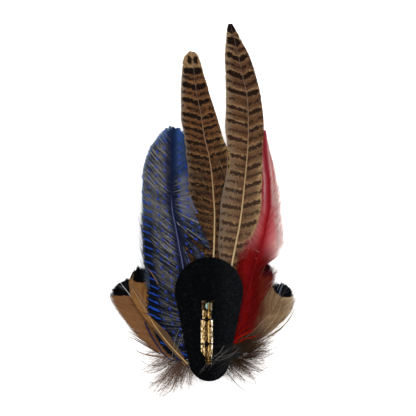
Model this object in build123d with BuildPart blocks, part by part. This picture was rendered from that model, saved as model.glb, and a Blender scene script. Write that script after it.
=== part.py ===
from build123d import *
from collections import namedtuple
from math import cos, radians, sin
import os

os.makedirs("parts", exist_ok=True)

# The plume lies face down with its felt back up, feather tips toward +Y.
# Millimetres, z = 0 is the table, x = 0 and y = 0 are the middle of its outline.

# Gaps between pieces
layer_gap = 0.3
seat_gap = 0.1
running_gap = 0.05
turning_gap = 0.07

# Felt backing: a pear, two circles joined by tangents
felt_thickness = 2.0
felt_head_radius = 20.4
felt_foot_radius = 12.0
felt_centre_distance = 42.0
felt_edge_rounding = 0.6
felt_x = 4.3
felt_head_y = -48.6
felt_foot_y = felt_head_y - felt_centre_distance

# Vanes and shafts
vane_thickness = 0.7
vane_edge_thickness = 0.4
tail_shaft = 2.0
tail_shaft_tip = 1.0
fine_shaft = 1.4
fine_shaft_tip = 0.9
body_shaft = 1.1
body_shaft_tip = 0.85
fringe_depth = 3.6
fringe_width = 0.7
vane_joint_angle = 40.0
barb_angle = 38.0

# Feathers: length along the heading, greatest width, heading from +Y toward +X
tail_left_length = 157.0
tail_left_width = 24.0
tail_right_length = 169.0
tail_right_width = 24.0
guinea_length = 125.5
guinea_width = 38.0
red_length = 123.0
red_width = 26.0
left_outer_length = 63.0
left_outer_width = 24.0
left_outer_heading = -38.4
left_inner_length = 64.0
left_inner_width = 24.0
left_inner_heading = -36.9
right_outer_length = 53.8
right_outer_width = 24.0
right_outer_heading = 39.6
right_inner_length = 43.0
right_inner_width = 16.0
right_inner_heading = 23.0

# Where each quill starts under the felt: to the side of and below the middle of its head
tail_left_side = 2.3
tail_left_below = 13.2
tail_right_side = 8.9
tail_right_below = 8.4
guinea_side = -8.6
guinea_below = 27.0
red_side = 17.3
red_below = 26.4
left_outer_side = -14.0
left_outer_below = 45.0
left_inner_side = -12.8
left_inner_below = 43.8
right_outer_side = 10.0
right_outer_below = 36.6
right_inner_side = 17.3
right_inner_below = 23.4

# Down at the foot of the plume
down_height = 7.4
down_head_width = 20.0
down_head_length = 27.0
down_head_rounding = 2.4
down_left_reach = 30.7
down_right_reach = 33.7
lock_root_share = 0.10
lock_root_width = 8.5
lock_root_thickness = 4.6
lock_middle_share = 0.60
lock_middle_width = 7.65
lock_middle_thickness = 2.76
lock_middle_level = 2.47
lock_tip_width = 2.2
lock_tip_thickness = 0.9
down_offset_x = -1.9
down_offset_y = -37.8
down_middle = felt_x + down_offset_x
down_y = felt_head_y + down_offset_y

# Layers from the table up to the felt
level_low = down_height + layer_gap + tail_shaft / 2
level_mid = level_low + vane_thickness + layer_gap
level_high = level_mid + vane_thickness + layer_gap
level_inner = level_high - vane_thickness / 2 - layer_gap - body_shaft / 2
level_outer = level_inner - vane_thickness / 2 - layer_gap - body_shaft / 2
felt_bottom = max(level_high + fine_shaft / 2, level_mid + tail_shaft / 2) + layer_gap
felt_top = felt_bottom + felt_thickness
table_level = tail_shaft_tip / 2 + seat_gap
guinea_tip_level = 4.5
left_inner_tip_level = table_level + 2 * (vane_thickness + layer_gap)
right_inner_tip_level = 3.6

# Bar pin sewn on the felt
bar_length = 38.0
bar_width = 7.0
bar_thickness = 0.7
bar_head_width = 6.2
bar_head_length = 5.2
bar_neck_width = 5.2
bar_neck_length = 4.8
bar_shoulder = 0.9
bar_taper_length = 3.6
bar_foot_width = 3.9
bar_foot_length = 4.4
bar_offset_x = -1.4
bar_offset_y = -24.7
bar_x = felt_x + bar_offset_x
bar_y = felt_head_y + bar_offset_y
bar_rim_width = 0.6
bar_rim_height = 0.5
bar_rim_inset = 0.4
bar_bottom = felt_top + seat_gap
bar_top = bar_bottom + bar_thickness

needle_diameter = 0.9
needle_side = 1.0
needle_height = 2.2
needle_neck_diameter = 1.5
needle_neck_start = 0.9
needle_neck_end = 2.5
needle_taper_length = 5.1
needle_tip_diameter = 0.18
needle_tip_inset = 0.4
needle_x = bar_x + needle_side
needle_z = bar_top + needle_height

# Hinge at the foot of the bar
rivet_diameter = 1.0
rivet_head_diameter = 1.8
rivet_head_thickness = 0.35
ear_thickness = 0.6
ear_radius = 1.5
eye_radius = 1.25
eye_width = 1.9
hinge_inset = 2.3
hinge_y = bar_y - bar_length / 2 + hinge_inset

# Safety catch at the head of the bar: a slit ring with a slit rotor in it
catch_length = 4.4
catch_ring_radius = 2.4
catch_foot_width = 3.6
rotor_radius = 1.5
rotor_bore = 1.5
rotor_slit = 1.3
collar_radius = 1.95
collar_thickness = 0.4
lever_reach = 3.6
lever_width = 1.1
lever_thickness = 0.8
catch_head_y = bar_y + bar_length / 2 - lever_thickness - collar_thickness
catch_foot_y = catch_head_y - catch_length
needle_tip_y = catch_head_y - needle_tip_inset

# Two stitches of black thread, each through a diamond hole in the bar
thread_diameter = 0.56
stitch_hole = 1.9
stitch_offsets = {"upper": 7.9, "lower": -6.8}
thread_bend = 0.5

# Sections of a feather, as shares: along of its length, shaft, left and right
# across its width from the root line, drop of the fall from root to tip
Row = namedtuple("Row", "along shaft left right drop")

tail_left_rows = [
    Row(0.000, 0.00, -0.08, 0.08, 0.00),
    Row(0.090, 0.00, -0.25, 0.12, 0.01),
    Row(0.195, 0.01, -0.62, 0.22, 0.04),
    Row(0.280, 0.03, -0.74, 0.22, 0.08),
    Row(0.375, 0.04, -0.77, 0.25, 0.14),
    Row(0.450, 0.01, -0.62, 0.33, 0.20),
    Row(0.530, -0.03, -0.62, 0.42, 0.28),
    Row(0.600, -0.10, -0.67, 0.44, 0.36),
    Row(0.670, -0.21, -0.71, 0.26, 0.45),
    Row(0.757, -0.30, -0.81, 0.09, 0.57),
    Row(0.853, -0.425, -0.80, -0.11, 0.73),
    Row(0.930, -0.48, -0.77, -0.27, 0.86),
    Row(0.975, -0.52, -0.71, -0.37, 0.95),
    Row(1.000, -0.525, -0.58, -0.47, 1.00),
]

tail_right_rows = [
    Row(0.000, 0.00, -0.08, 0.08, 0.00),
    Row(0.071, 0.10, -0.05, 0.30, 0.01),
    Row(0.153, 0.21, -0.11, 0.51, 0.03),
    Row(0.213, 0.29, -0.15, 0.61, 0.05),
    Row(0.284, 0.39, -0.12, 0.82, 0.08),
    Row(0.355, 0.46, -0.09, 0.93, 0.13),
    Row(0.426, 0.51, 0.00, 0.95, 0.18),
    Row(0.497, 0.56, 0.08, 0.96, 0.25),
    Row(0.568, 0.60, 0.08, 0.98, 0.32),
    Row(0.640, 0.61, 0.03, 1.00, 0.41),
    Row(0.728, 0.59, 0.05, 0.94, 0.53),
    Row(0.810, 0.475, 0.04, 0.81, 0.66),
    Row(0.885, 0.365, 0.02, 0.645, 0.78),
    Row(0.941, 0.27, 0.05, 0.44, 0.89),
    Row(0.977, 0.20, 0.07, 0.30, 0.955),
    Row(1.000, 0.16, 0.11, 0.21, 1.00),
]

guinea_rows = [
    Row(0.000, 0.00, -0.37, 0.06, 0.00),
    Row(0.043, -0.016, -0.545, 0.06, 0.00),
    Row(0.105, -0.047, -0.695, 0.08, 0.01),
    Row(0.180, -0.095, -0.74, 0.12, 0.03),
    Row(0.278, -0.158, -0.75, 0.17, 0.07),
    Row(0.364, -0.205, -0.81, 0.19, 0.12),
    Row(0.430, -0.25, -0.82, 0.205, 0.17),
    Row(0.517, -0.30, -0.83, 0.11, 0.24),
    Row(0.612, -0.36, -0.82, 0.00, 0.33),
    Row(0.680, -0.374, -0.845, -0.07, 0.41),
    Row(0.746, -0.38, -0.837, -0.14, 0.51),
    Row(0.818, -0.38, -0.80, -0.17, 0.63),
    Row(0.890, -0.38, -0.727, -0.20, 0.77),
    Row(0.947, -0.374, -0.60, -0.22, 0.88),
    Row(0.980, -0.368, -0.51, -0.26, 0.96),
    Row(1.000, -0.365, -0.43, -0.31, 1.00),
]

red_rows = [
    Row(0.000, 0.00, -0.12, 0.25, 0.00),
    Row(0.073, 0.06, -0.12, 0.39, 0.00),
    Row(0.146, 0.14, -0.09, 0.485, 0.00),
    Row(0.244, 0.28, -0.02, 0.58, 0.00),
    Row(0.327, 0.377, 0.05, 0.76, 0.01),
    Row(0.390, 0.485, 0.08, 0.97, 0.03),
    Row(0.440, 0.54, 0.30, 1.03, 0.10),
    Row(0.488, 0.60, 0.42, 1.035, 0.25),
    Row(0.550, 0.66, 0.44, 0.99, 0.45),
    Row(0.634, 0.73, 0.44, 0.96, 0.60),
    Row(0.732, 0.73, 0.43, 0.92, 0.72),
    Row(0.830, 0.68, 0.44, 0.84, 0.82),
    Row(0.912, 0.642, 0.485, 0.734, 0.91),
    Row(0.970, 0.62, 0.53, 0.67, 0.97),
    Row(1.000, 0.605, 0.565, 0.645, 1.00),
]

left_outer_rows = [
    Row(0.00, 0.00, -0.06, 0.06, 0.00),
    Row(0.12, 0.00, -0.16, 0.14, 0.02),
    Row(0.25, 0.00, -0.29, 0.27, 0.08),
    Row(0.38, 0.00, -0.42, 0.36, 0.20),
    Row(0.57, 0.00, -0.51, 0.42, 0.42),
    Row(0.74, 0.00, -0.51, 0.44, 0.66),
    Row(0.88, 0.00, -0.48, 0.42, 0.86),
    Row(0.96, 0.00, -0.43, 0.35, 0.96),
    Row(1.00, 0.00, -0.29, 0.20, 1.00),
]

left_inner_rows = [
    Row(0.00, 0.00, -0.06, 0.06, 0.00),
    Row(0.10, -0.03, -0.20, 0.06, 0.02),
    Row(0.23, -0.07, -0.32, 0.08, 0.03),
    Row(0.34, -0.085, -0.31, 0.11, 0.04),
    Row(0.47, -0.09, -0.27, 0.12, 0.10),
    Row(0.60, -0.11, -0.21, 0.14, 0.28),
    Row(0.70, -0.11, -0.20, 0.28, 0.54),
    Row(0.80, -0.08, -0.15, 0.46, 0.73),
    Row(0.88, 0.02, -0.06, 0.56, 0.85),
    Row(0.95, 0.16, 0.06, 0.62, 0.94),
    Row(1.00, 0.34, 0.27, 0.48, 1.00),
]

right_outer_rows = [
    Row(0.00, 0.00, -0.06, 0.06, 0.00),
    Row(0.12, 0.06, -0.22, 0.20, 0.01),
    Row(0.24, 0.14, -0.28, 0.34, 0.04),
    Row(0.36, 0.19, -0.26, 0.47, 0.13),
    Row(0.48, 0.22, -0.19, 0.55, 0.33),
    Row(0.61, 0.24, -0.23, 0.60, 0.50),
    Row(0.76, 0.23, -0.26, 0.625, 0.71),
    Row(0.87, 0.20, -0.25, 0.58, 0.86),
    Row(0.95, 0.17, -0.16, 0.44, 0.95),
    Row(1.00, 0.14, 0.03, 0.27, 1.00),
]

right_inner_rows = [
    Row(0.00, 0.00, -0.07, 0.07, 0.00),
    Row(0.20, 0.00, -0.25, 0.25, 0.06),
    Row(0.40, 0.00, -0.36, 0.38, 0.22),
    Row(0.60, 0.00, -0.40, 0.46, 0.46),
    Row(0.80, 0.00, -0.41, 0.52, 0.74),
    Row(0.92, 0.00, -0.38, 0.48, 0.91),
    Row(0.97, 0.00, -0.28, 0.34, 0.97),
    Row(1.00, 0.00, -0.16, 0.18, 1.00),
]

# Splits in a vane: each is a wedge with one apex and two mouth corners
Split = namedtuple("Split", "apex_along apex_across low_along low_across high_along high_across")

guinea_splits = [
    Split(0.574, -0.300, 0.370, 0.205, 0.428, 0.235),
    Split(0.488, -0.190, 0.335, -0.040, 0.368, 0.150),
    Split(0.665, -0.160, 0.582, 0.060, 0.612, 0.060),
]

tail_right_splits = [
    Split(0.945, 0.33, 0.952, 0.50, 0.960, 0.47),
]

# Fringes, where barb tips stand apart: side of the shaft, start and end along
Fringe = namedtuple("Fringe", "side start end count")

guinea_fringes = [Fringe(-1, 0.84, 0.96, 4), Fringe(-1, 0.34, 0.72, 6)]
red_fringes = [Fringe(1, 0.46, 0.70, 6)]
left_outer_fringes = [Fringe(-1, 0.50, 0.92, 4), Fringe(1, 0.90, 0.97, 2)]
left_inner_fringes = [Fringe(1, 0.74, 0.96, 3)]
right_outer_fringes = [Fringe(1, 0.50, 0.94, 5), Fringe(-1, 0.86, 0.95, 2)]
right_inner_fringes = [Fringe(1, 0.60, 0.95, 4), Fringe(-1, 0.80, 0.95, 2)]

# Locks of down: heading from +X toward +Y, reach as a share of the longest
Lock = namedtuple("Lock", "heading reach width")

down_left_locks = [
    Lock(183, 1.00, 0.7),
    Lock(194, 0.90, 0.9),
    Lock(206, 0.94, 1.0),
    Lock(217, 0.94, 1.0),
    Lock(229, 0.99, 0.9),
    Lock(240, 0.98, 0.8),
    Lock(251, 0.78, 1.0),
    Lock(268, 0.62, 1.1),
]

down_right_locks = [
    Lock(18, 0.90, 1.0),
    Lock(5, 1.00, 0.9),
    Lock(-10, 0.80, 1.0),
    Lock(-25, 0.82, 1.0),
    Lock(-39, 0.82, 1.0),
    Lock(-51, 0.84, 0.9),
    Lock(-66, 0.62, 1.1),
    Lock(-84, 0.48, 1.1),
]


def edge_at(rows, along, side):
    # How far out the vane reaches at a place along the feather, in shares
    for near, far in zip(rows, rows[1:]):
        if near.along <= along <= far.along:
            part = (along - near.along) / (far.along - near.along)
            if side < 0:
                return near.left + part * (far.left - near.left)
            return near.right + part * (far.right - near.right)
    return 0.0


def make_feather(name, root, heading, length, width, shaft, shaft_tip, levels, rows,
                 splits=(), fringes=()):
    # One feather: a tapered shaft with its vane, lofted through its sections
    ahead = Vector(sin(radians(heading)), cos(radians(heading)), 0)
    right = Vector(ahead.Y, -ahead.X, 0)
    root_level, tip_level = levels
    half_vane = vane_thickness / 2
    half_edge = vane_edge_thickness / 2

    def plan(along, across):
        return Vector(*root) + ahead * along + right * across

    with BuildPart() as feather:
        for row in rows:
            level = root_level - row.drop * (root_level - tip_level)
            radius = (shaft + row.along * (shaft_tip - shaft)) / 2
            side = radius * cos(radians(vane_joint_angle))
            origin = plan(row.along * length, 0) + Vector(0, 0, level)
            middle = row.shaft * width
            left = row.left * width
            tip = row.right * width
            with BuildSketch(Plane(origin=origin, x_dir=right, z_dir=-ahead)):
                with BuildLine():
                    Line((left, -half_edge), (middle - side, -half_vane))
                    ThreePointArc((middle - side, -half_vane), (middle, -radius),
                                  (middle + side, -half_vane))
                    Polyline((middle + side, -half_vane), (tip, -half_edge),
                             (tip, half_edge), (middle + side, half_vane))
                    ThreePointArc((middle + side, half_vane), (middle, radius),
                                  (middle - side, half_vane))
                    Polyline((middle - side, half_vane), (left, half_edge),
                             (left, -half_edge))
                make_face()
        loft()

        wedges = []
        for cut in splits:
            wedges.append([
                plan(cut.apex_along * length, cut.apex_across * width),
                plan(cut.low_along * length, cut.low_across * width),
                plan(cut.high_along * length, cut.high_across * width),
            ])
        for fringe in fringes:
            for step in range(fringe.count):
                along = fringe.start + (fringe.end - fringe.start) * step / (fringe.count - 1)
                outer = edge_at(rows, along, fringe.side) * width + fringe.side
                forward = fringe_depth * cos(radians(barb_angle))
                inward = fringe.side * fringe_depth * sin(radians(barb_angle))
                wedges.append([
                    plan(along * length - forward, outer - inward),
                    plan(along * length - fringe_width, outer),
                    plan(along * length + fringe_width, outer),
                ])
        for corners in wedges:
            with BuildSketch(Plane.XY.offset(-root_level)):
                with BuildLine():
                    Polyline(*[(corner.X, corner.Y) for corner in corners], close=True)
                make_face()
            extrude(amount=3 * root_level, mode=Mode.SUBTRACT)

    feather.part.label = name
    export_step(feather.part, f"parts/{name}.step")


def make_down(name, centre, reach, locks):
    # A tuft of down: locks fused to a small domed head under the felt
    centre_x, centre_y = centre
    with BuildPart() as down:
        with BuildSketch():
            with Locations(centre):
                Ellipse(down_head_width / 2, down_head_length / 2)
        extrude(amount=down_height)
        fillet(down.faces().sort_by(Axis.Z)[-1].edges(), radius=down_head_rounding)
        for lock in locks:
            ahead = Vector(cos(radians(lock.heading)), sin(radians(lock.heading)), 0)
            right = Vector(ahead.Y, -ahead.X, 0)
            stations = [
                (lock_root_share, lock_root_width * lock.width, lock_root_thickness,
                 down_height / 2),
                (lock_middle_share, lock_middle_width * lock.width, lock_middle_thickness,
                 lock_middle_level),
                (1.0, lock_tip_width, lock_tip_thickness, lock_tip_thickness / 2),
            ]
            for share, lock_width, lock_thickness, level in stations:
                place = Vector(centre_x, centre_y, level) + ahead * (share * lock.reach * reach)
                with BuildSketch(Plane(origin=place, x_dir=right, z_dir=-ahead)):
                    Ellipse(lock_width / 2, lock_thickness / 2)
            loft()
    down.part.label = name
    export_step(down.part, f"parts/{name}.step")


def from_felt(side, below):
    # A place under the felt, from the middle of its wide end
    return (felt_x + side, felt_head_y - below, 0)


# Felt backing
with BuildPart() as felt_backing:
    with BuildSketch(Plane.XY.offset(felt_bottom)):
        with Locations((felt_x, felt_head_y)):
            Circle(felt_head_radius)
        with Locations((felt_x, felt_foot_y)):
            Circle(felt_foot_radius)
        make_hull()
    extrude(amount=felt_thickness)
    fillet(felt_backing.faces().sort_by(Axis.Z)[-1].edges(), radius=felt_edge_rounding)
felt_backing.part.label = "felt_backing"
export_step(felt_backing.part, "parts/felt_backing.step")

# The two long tail feathers
make_feather("tail_feather_left", from_felt(tail_left_side, tail_left_below), 0,
             tail_left_length, tail_left_width, tail_shaft, tail_shaft_tip, (level_low, table_level),
             tail_left_rows)
make_feather("tail_feather_right", from_felt(tail_right_side, tail_right_below), 0,
             tail_right_length, tail_right_width, tail_shaft, tail_shaft_tip, (level_mid, table_level),
             tail_right_rows, splits=tail_right_splits)

# The spotted feather on the left and the red one on the right
make_feather("guinea_feather", from_felt(guinea_side, guinea_below), 0, guinea_length,
             guinea_width, fine_shaft, fine_shaft_tip, (level_high, guinea_tip_level),
             guinea_rows, splits=guinea_splits, fringes=guinea_fringes)
make_feather("red_feather", from_felt(red_side, red_below), 0, red_length,
             red_width, fine_shaft, fine_shaft_tip, (level_high, table_level),
             red_rows, fringes=red_fringes)

# The four body feathers with black tips
make_feather("body_feather_left_outer", from_felt(left_outer_side, left_outer_below),
             left_outer_heading, left_outer_length, left_outer_width, body_shaft, body_shaft_tip,
             (level_outer, table_level), left_outer_rows, fringes=left_outer_fringes)
make_feather("body_feather_left_inner", from_felt(left_inner_side, left_inner_below),
             left_inner_heading, left_inner_length, left_inner_width, body_shaft, body_shaft_tip,
             (level_inner, left_inner_tip_level), left_inner_rows,
             fringes=left_inner_fringes)
make_feather("body_feather_right_outer", from_felt(right_outer_side, right_outer_below),
             right_outer_heading, right_outer_length, right_outer_width, body_shaft, body_shaft_tip,
             (level_outer, table_level), right_outer_rows, fringes=right_outer_fringes)
make_feather("body_feather_right_inner", from_felt(right_inner_side, right_inner_below),
             right_inner_heading, right_inner_length, right_inner_width, body_shaft, body_shaft_tip,
             (level_inner, right_inner_tip_level), right_inner_rows,
             fringes=right_inner_fringes)

# Down at both sides of the foot
down_side = down_head_width / 2 + layer_gap
make_down("down_fluff_left", (down_middle - down_side, down_y), down_left_reach,
          down_left_locks)
make_down("down_fluff_right", (down_middle + down_side, down_y), down_right_reach,
          down_right_locks)

# Bar of the pin back: plate with a raised right rim, hinge ears and catch ring
head_half = bar_head_width / 2
neck_half = bar_neck_width / 2
body_half = bar_width / 2
foot_left = needle_side - bar_foot_width / 2
foot_right = needle_side + bar_foot_width / 2
head_y = bar_length / 2
head_end = head_y - bar_head_length
neck_start = head_end - bar_shoulder
neck_end = neck_start - bar_neck_length
body_start = neck_end - bar_shoulder
foot_start = bar_foot_length - head_y
body_end = foot_start + bar_taper_length
bar_outline = [
    (-head_half, head_y),
    (head_half, head_y),
    (head_half, head_end),
    (neck_half, neck_start),
    (neck_half, neck_end),
    (body_half, body_start),
    (body_half, body_end),
    (foot_right, foot_start),
    (foot_right, -head_y),
    (foot_left, -head_y),
    (foot_left, foot_start),
    (-body_half, body_end),
    (-body_half, body_start),
    (-neck_half, neck_end),
    (-neck_half, neck_start),
    (-head_half, head_end),
]
rim_length = body_start - body_end - 2 * bar_rim_inset
rim_y = bar_y + (body_start + body_end) / 2
rim_x = bar_x + (bar_width - bar_rim_width) / 2
thread_notch = thread_diameter + 4 * seat_gap
ear_side = eye_width / 2 + seat_gap + ear_thickness / 2
with BuildPart() as pin_bar:
    with BuildSketch(Plane.XY.offset(bar_bottom)):
        with BuildLine():
            Polyline(*[(bar_x + x, bar_y + y) for x, y in bar_outline], close=True)
        make_face()
        with Locations(*[(bar_x, bar_y + offset) for offset in stitch_offsets.values()]):
            Rectangle(stitch_hole, stitch_hole, rotation=45, mode=Mode.SUBTRACT)
    extrude(amount=bar_thickness)
    with BuildSketch(Plane.XY.offset(bar_bottom)):
        with Locations((rim_x, rim_y)):
            Rectangle(bar_rim_width, rim_length)
        with Locations(*[(rim_x, bar_y + offset) for offset in stitch_offsets.values()]):
            Rectangle(2 * bar_rim_width, thread_notch, mode=Mode.SUBTRACT)
    extrude(amount=bar_thickness + bar_rim_height)
    with BuildSketch(Plane(origin=(needle_x, catch_head_y, 0), x_dir=(1, 0, 0),
                           z_dir=(0, -1, 0))):
        with Locations((0, needle_z)):
            Circle(catch_ring_radius)
        with Locations((0, (bar_bottom + needle_z) / 2)):
            Rectangle(catch_foot_width, needle_z - bar_bottom)
        with Locations((0, needle_z)):
            Circle(rotor_radius + turning_gap, mode=Mode.SUBTRACT)
        with Locations((0, needle_z + catch_ring_radius)):
            Rectangle(rotor_slit, 2 * catch_ring_radius, mode=Mode.SUBTRACT)
    extrude(amount=catch_length)
    for side in (-1, 1):
        ear_face = needle_x + side * ear_side - ear_thickness / 2
        with BuildSketch(Plane(origin=(ear_face, hinge_y, 0), x_dir=(0, 1, 0),
                               z_dir=(1, 0, 0))):
            with Locations((0, needle_z)):
                Circle(ear_radius)
            with Locations((0, (bar_bottom + needle_z) / 2)):
                Rectangle(2 * ear_radius, needle_z - bar_bottom)
            with Locations((0, needle_z)):
                Circle(rivet_diameter / 2 + running_gap, mode=Mode.SUBTRACT)
        extrude(amount=ear_thickness)
pin_bar.part.label = "pin_bar"
export_step(pin_bar.part, "parts/pin_bar.step")

# Rivet of the hinge, with a head outside each ear
rivet_length = 2 * (ear_side + ear_thickness / 2 + seat_gap)
with BuildPart() as hinge_rivet:
    with BuildSketch(Plane(origin=(needle_x - rivet_length / 2, hinge_y, needle_z),
                           x_dir=(0, 1, 0), z_dir=(1, 0, 0))):
        Circle(rivet_diameter / 2)
    extrude(amount=rivet_length)
    for start in (-rivet_length / 2 - rivet_head_thickness, rivet_length / 2):
        with BuildSketch(Plane(origin=(needle_x + start, hinge_y, needle_z),
                               x_dir=(0, 1, 0), z_dir=(1, 0, 0))):
            Circle(rivet_head_diameter / 2)
        extrude(amount=rivet_head_thickness)
hinge_rivet.part.label = "hinge_rivet"
export_step(hinge_rivet.part, "parts/hinge_rivet.step")

# Needle: an eye on the rivet, a cone, a straight wire and a ground point
with BuildPart() as pin_needle:
    with BuildSketch(Plane(origin=(needle_x - eye_width / 2, hinge_y, needle_z),
                           x_dir=(0, 1, 0), z_dir=(1, 0, 0))):
        Circle(eye_radius)
    extrude(amount=eye_width)
    needle_sections = [
        (hinge_y + needle_neck_start, needle_neck_diameter),
        (hinge_y + needle_neck_end, needle_diameter),
        (needle_tip_y - needle_taper_length, needle_diameter),
        (needle_tip_y, needle_tip_diameter),
    ]
    for near, far in zip(needle_sections, needle_sections[1:]):
        for section_y, section_diameter in (near, far):
            with BuildSketch(Plane(origin=(needle_x, section_y, needle_z),
                                   x_dir=(-1, 0, 0), z_dir=(0, 1, 0))):
                Circle(section_diameter / 2)
        loft()
    with BuildSketch(Plane(origin=(needle_x - eye_width / 2, hinge_y, needle_z),
                           x_dir=(0, 1, 0), z_dir=(1, 0, 0))):
        Circle(rivet_diameter / 2 + running_gap)
    extrude(amount=eye_width, mode=Mode.SUBTRACT)
pin_needle.part.label = "pin_needle"
export_step(pin_needle.part, "parts/pin_needle.step")

# Rotor of the catch: a slit tube with a collar at each end and a lever
rotor_foot_y = catch_foot_y - running_gap - collar_thickness
rotor_head_y = catch_head_y + running_gap + collar_thickness
lever_head_y = rotor_head_y + lever_thickness
with BuildPart() as catch_rotor:
    with BuildSketch(Plane(origin=(needle_x, lever_head_y, needle_z), x_dir=(1, 0, 0),
                           z_dir=(0, -1, 0))):
        Circle(rotor_radius)
    extrude(amount=lever_head_y - rotor_foot_y)
    for collar_y in (rotor_head_y, rotor_foot_y + collar_thickness):
        with BuildSketch(Plane(origin=(needle_x, collar_y, needle_z), x_dir=(1, 0, 0),
                               z_dir=(0, -1, 0))):
            Circle(collar_radius)
        extrude(amount=collar_thickness)
    with BuildSketch(Plane(origin=(needle_x, lever_head_y, needle_z), x_dir=(1, 0, 0),
                           z_dir=(0, -1, 0))):
        with Locations(((rotor_bore / 2 + lever_reach) / 2, 0)):
            Rectangle(lever_reach - rotor_bore / 2, lever_width)
    extrude(amount=lever_thickness)
    with BuildSketch(Plane(origin=(needle_x, lever_head_y, needle_z), x_dir=(1, 0, 0),
                           z_dir=(0, -1, 0))):
        Circle(rotor_bore / 2)
        with Locations((0, collar_radius)):
            Rectangle(rotor_slit, 2 * collar_radius)
    extrude(amount=lever_head_y - rotor_foot_y, mode=Mode.SUBTRACT)
catch_rotor.part.label = "catch_rotor"
export_step(catch_rotor.part, "parts/catch_rotor.step")

# Stitches: thread over the bar, down into its hole and back up
thread_high = bar_top + seat_gap + thread_diameter / 2
thread_low = bar_top - thread_diameter / 2
thread_start = felt_top + seat_gap
for place, offset in stitch_offsets.items():
    thread_side = bar_width / 2 + seat_gap + thread_diameter / 2
    stitch_y = bar_y + offset
    with BuildPart() as stitch:
        with BuildLine() as run:
            FilletPolyline(
                (bar_x - thread_side, stitch_y, thread_start),
                (bar_x - thread_side, stitch_y, thread_high),
                (bar_x - stitch_hole / 2, stitch_y, thread_high),
                (bar_x, stitch_y, thread_low),
                (bar_x + stitch_hole / 2, stitch_y, thread_high),
                (bar_x + thread_side, stitch_y, thread_high),
                (bar_x + thread_side, stitch_y, thread_start),
                radius=thread_bend,
            )
        with BuildSketch(Plane(origin=run.line @ 0, z_dir=run.line % 0)):
            Circle(thread_diameter / 2)
        sweep()
    stitch.part.label = f"stitch_{place}"
    export_step(stitch.part, f"parts/stitch_{place}.step")
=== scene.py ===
import bpy
import math
import numpy as np
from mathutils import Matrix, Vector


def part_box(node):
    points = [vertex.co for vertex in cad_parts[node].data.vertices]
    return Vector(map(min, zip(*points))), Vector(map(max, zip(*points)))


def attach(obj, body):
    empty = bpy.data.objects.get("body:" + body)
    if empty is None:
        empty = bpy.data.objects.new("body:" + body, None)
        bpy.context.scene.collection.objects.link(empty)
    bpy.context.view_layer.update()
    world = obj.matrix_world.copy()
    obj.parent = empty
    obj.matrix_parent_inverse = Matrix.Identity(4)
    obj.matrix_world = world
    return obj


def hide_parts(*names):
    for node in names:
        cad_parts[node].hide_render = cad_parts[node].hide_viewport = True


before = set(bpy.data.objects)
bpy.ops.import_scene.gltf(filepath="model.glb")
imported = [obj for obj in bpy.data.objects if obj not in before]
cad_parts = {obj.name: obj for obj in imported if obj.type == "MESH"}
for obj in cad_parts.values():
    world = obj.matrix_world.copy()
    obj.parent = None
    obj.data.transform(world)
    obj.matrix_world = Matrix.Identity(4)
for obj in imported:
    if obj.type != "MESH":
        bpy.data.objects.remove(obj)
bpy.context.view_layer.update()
bpy.ops.object.select_all(action="DESELECT")

mm = 0.001
plumeBody = "plume"
feltLow, feltHigh = [np.array(corner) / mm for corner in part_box("felt_backing")]
feltHeadRadius = 20.4
feltFootRadius = 12.0
feltMiddle = (feltLow[0] + feltHigh[0]) / 2
feltHeadY = feltHigh[1] - feltHeadRadius
feltFootY = feltLow[1] + feltFootRadius


# Small helpers for shapes
def softCurve(places, knots, values):
    # a smooth line through given values, which never swings past them
    knots, values = np.asarray(knots, float), np.asarray(values, float)
    step = np.diff(knots)
    slope = np.diff(values) / step
    total = slope[:-1] + slope[1:]
    same = slope[:-1] * slope[1:] > 0
    lean = np.zeros(len(values))
    lean[1:-1] = np.where(same, 2 * slope[:-1] * slope[1:] / np.where(same, total, 1), 0)
    lean[0], lean[-1] = slope[0], slope[-1]
    places = np.clip(places, knots[0], knots[-1])
    i = np.clip(np.searchsorted(knots, places, side="right") - 1, 0, len(knots) - 2)
    t = (places - knots[i]) / step[i]
    return ((1 + 2 * t) * (1 - t) ** 2 * values[i] + t * (1 - t) ** 2 * step[i] * lean[i]
            + t * t * (3 - 2 * t) * values[i + 1] - t * t * (1 - t) * step[i] * lean[i + 1])


def easeBetween(low, high, value):
    t = np.clip((value - low) / (high - low), 0, 1)
    return t * t * (3 - 2 * t)


def newPiece(name, points, faces, material, marks=None, replaced=()):
    # points in millimetres; marks are named values on each point for the material
    mesh = bpy.data.meshes.new(name)
    mesh.from_pydata((points.reshape(-1, 3) * mm).tolist(), [], faces)
    for mark, values in (marks or {}).items():
        attribute = mesh.attributes.new(mark, "FLOAT", "POINT")
        attribute.data.foreach_set("value", np.asarray(values, np.float32).ravel())
    mesh.materials.append(material)
    piece = bpy.data.objects.new(name, mesh)
    bpy.context.scene.collection.objects.link(piece)
    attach(piece, plumeBody)
    if replaced:
        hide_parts(*replaced)
    return piece


def strandShape(lines, halfWidths, heights, tilt=0.0):
    # closed three-sided strands, flat below and ridged above: lines is (count, steps, 3)
    run = np.gradient(lines, axis=1)
    side = np.stack([run[..., 1], -run[..., 0]], axis=-1)
    side /= np.maximum(np.linalg.norm(side, axis=-1, keepdims=True), 1e-9)
    side = np.concatenate([side, np.zeros_like(side[..., :1])], axis=-1)
    left = lines - side * halfWidths[..., None]
    right = lines + side * halfWidths[..., None]
    top = lines.copy()
    left[..., 2] -= tilt
    right[..., 2] += tilt
    top[..., 2] += heights
    points = np.stack([left, top, right], axis=2)
    index = np.arange(lines.shape[0] * lines.shape[1] * 3).reshape(*lines.shape[:2], 3)
    near, far = index[:, :-1], index[:, 1:]
    faces = []
    for k in range(3):
        n = (k + 1) % 3
        quads = np.stack([near[..., k], near[..., n], far[..., n], far[..., k]], axis=-1)
        faces += quads.reshape(-1, 4).tolist()
    faces += index[:, 0, ::-1].tolist() + index[:, -1, :].tolist()
    return points, faces


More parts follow.
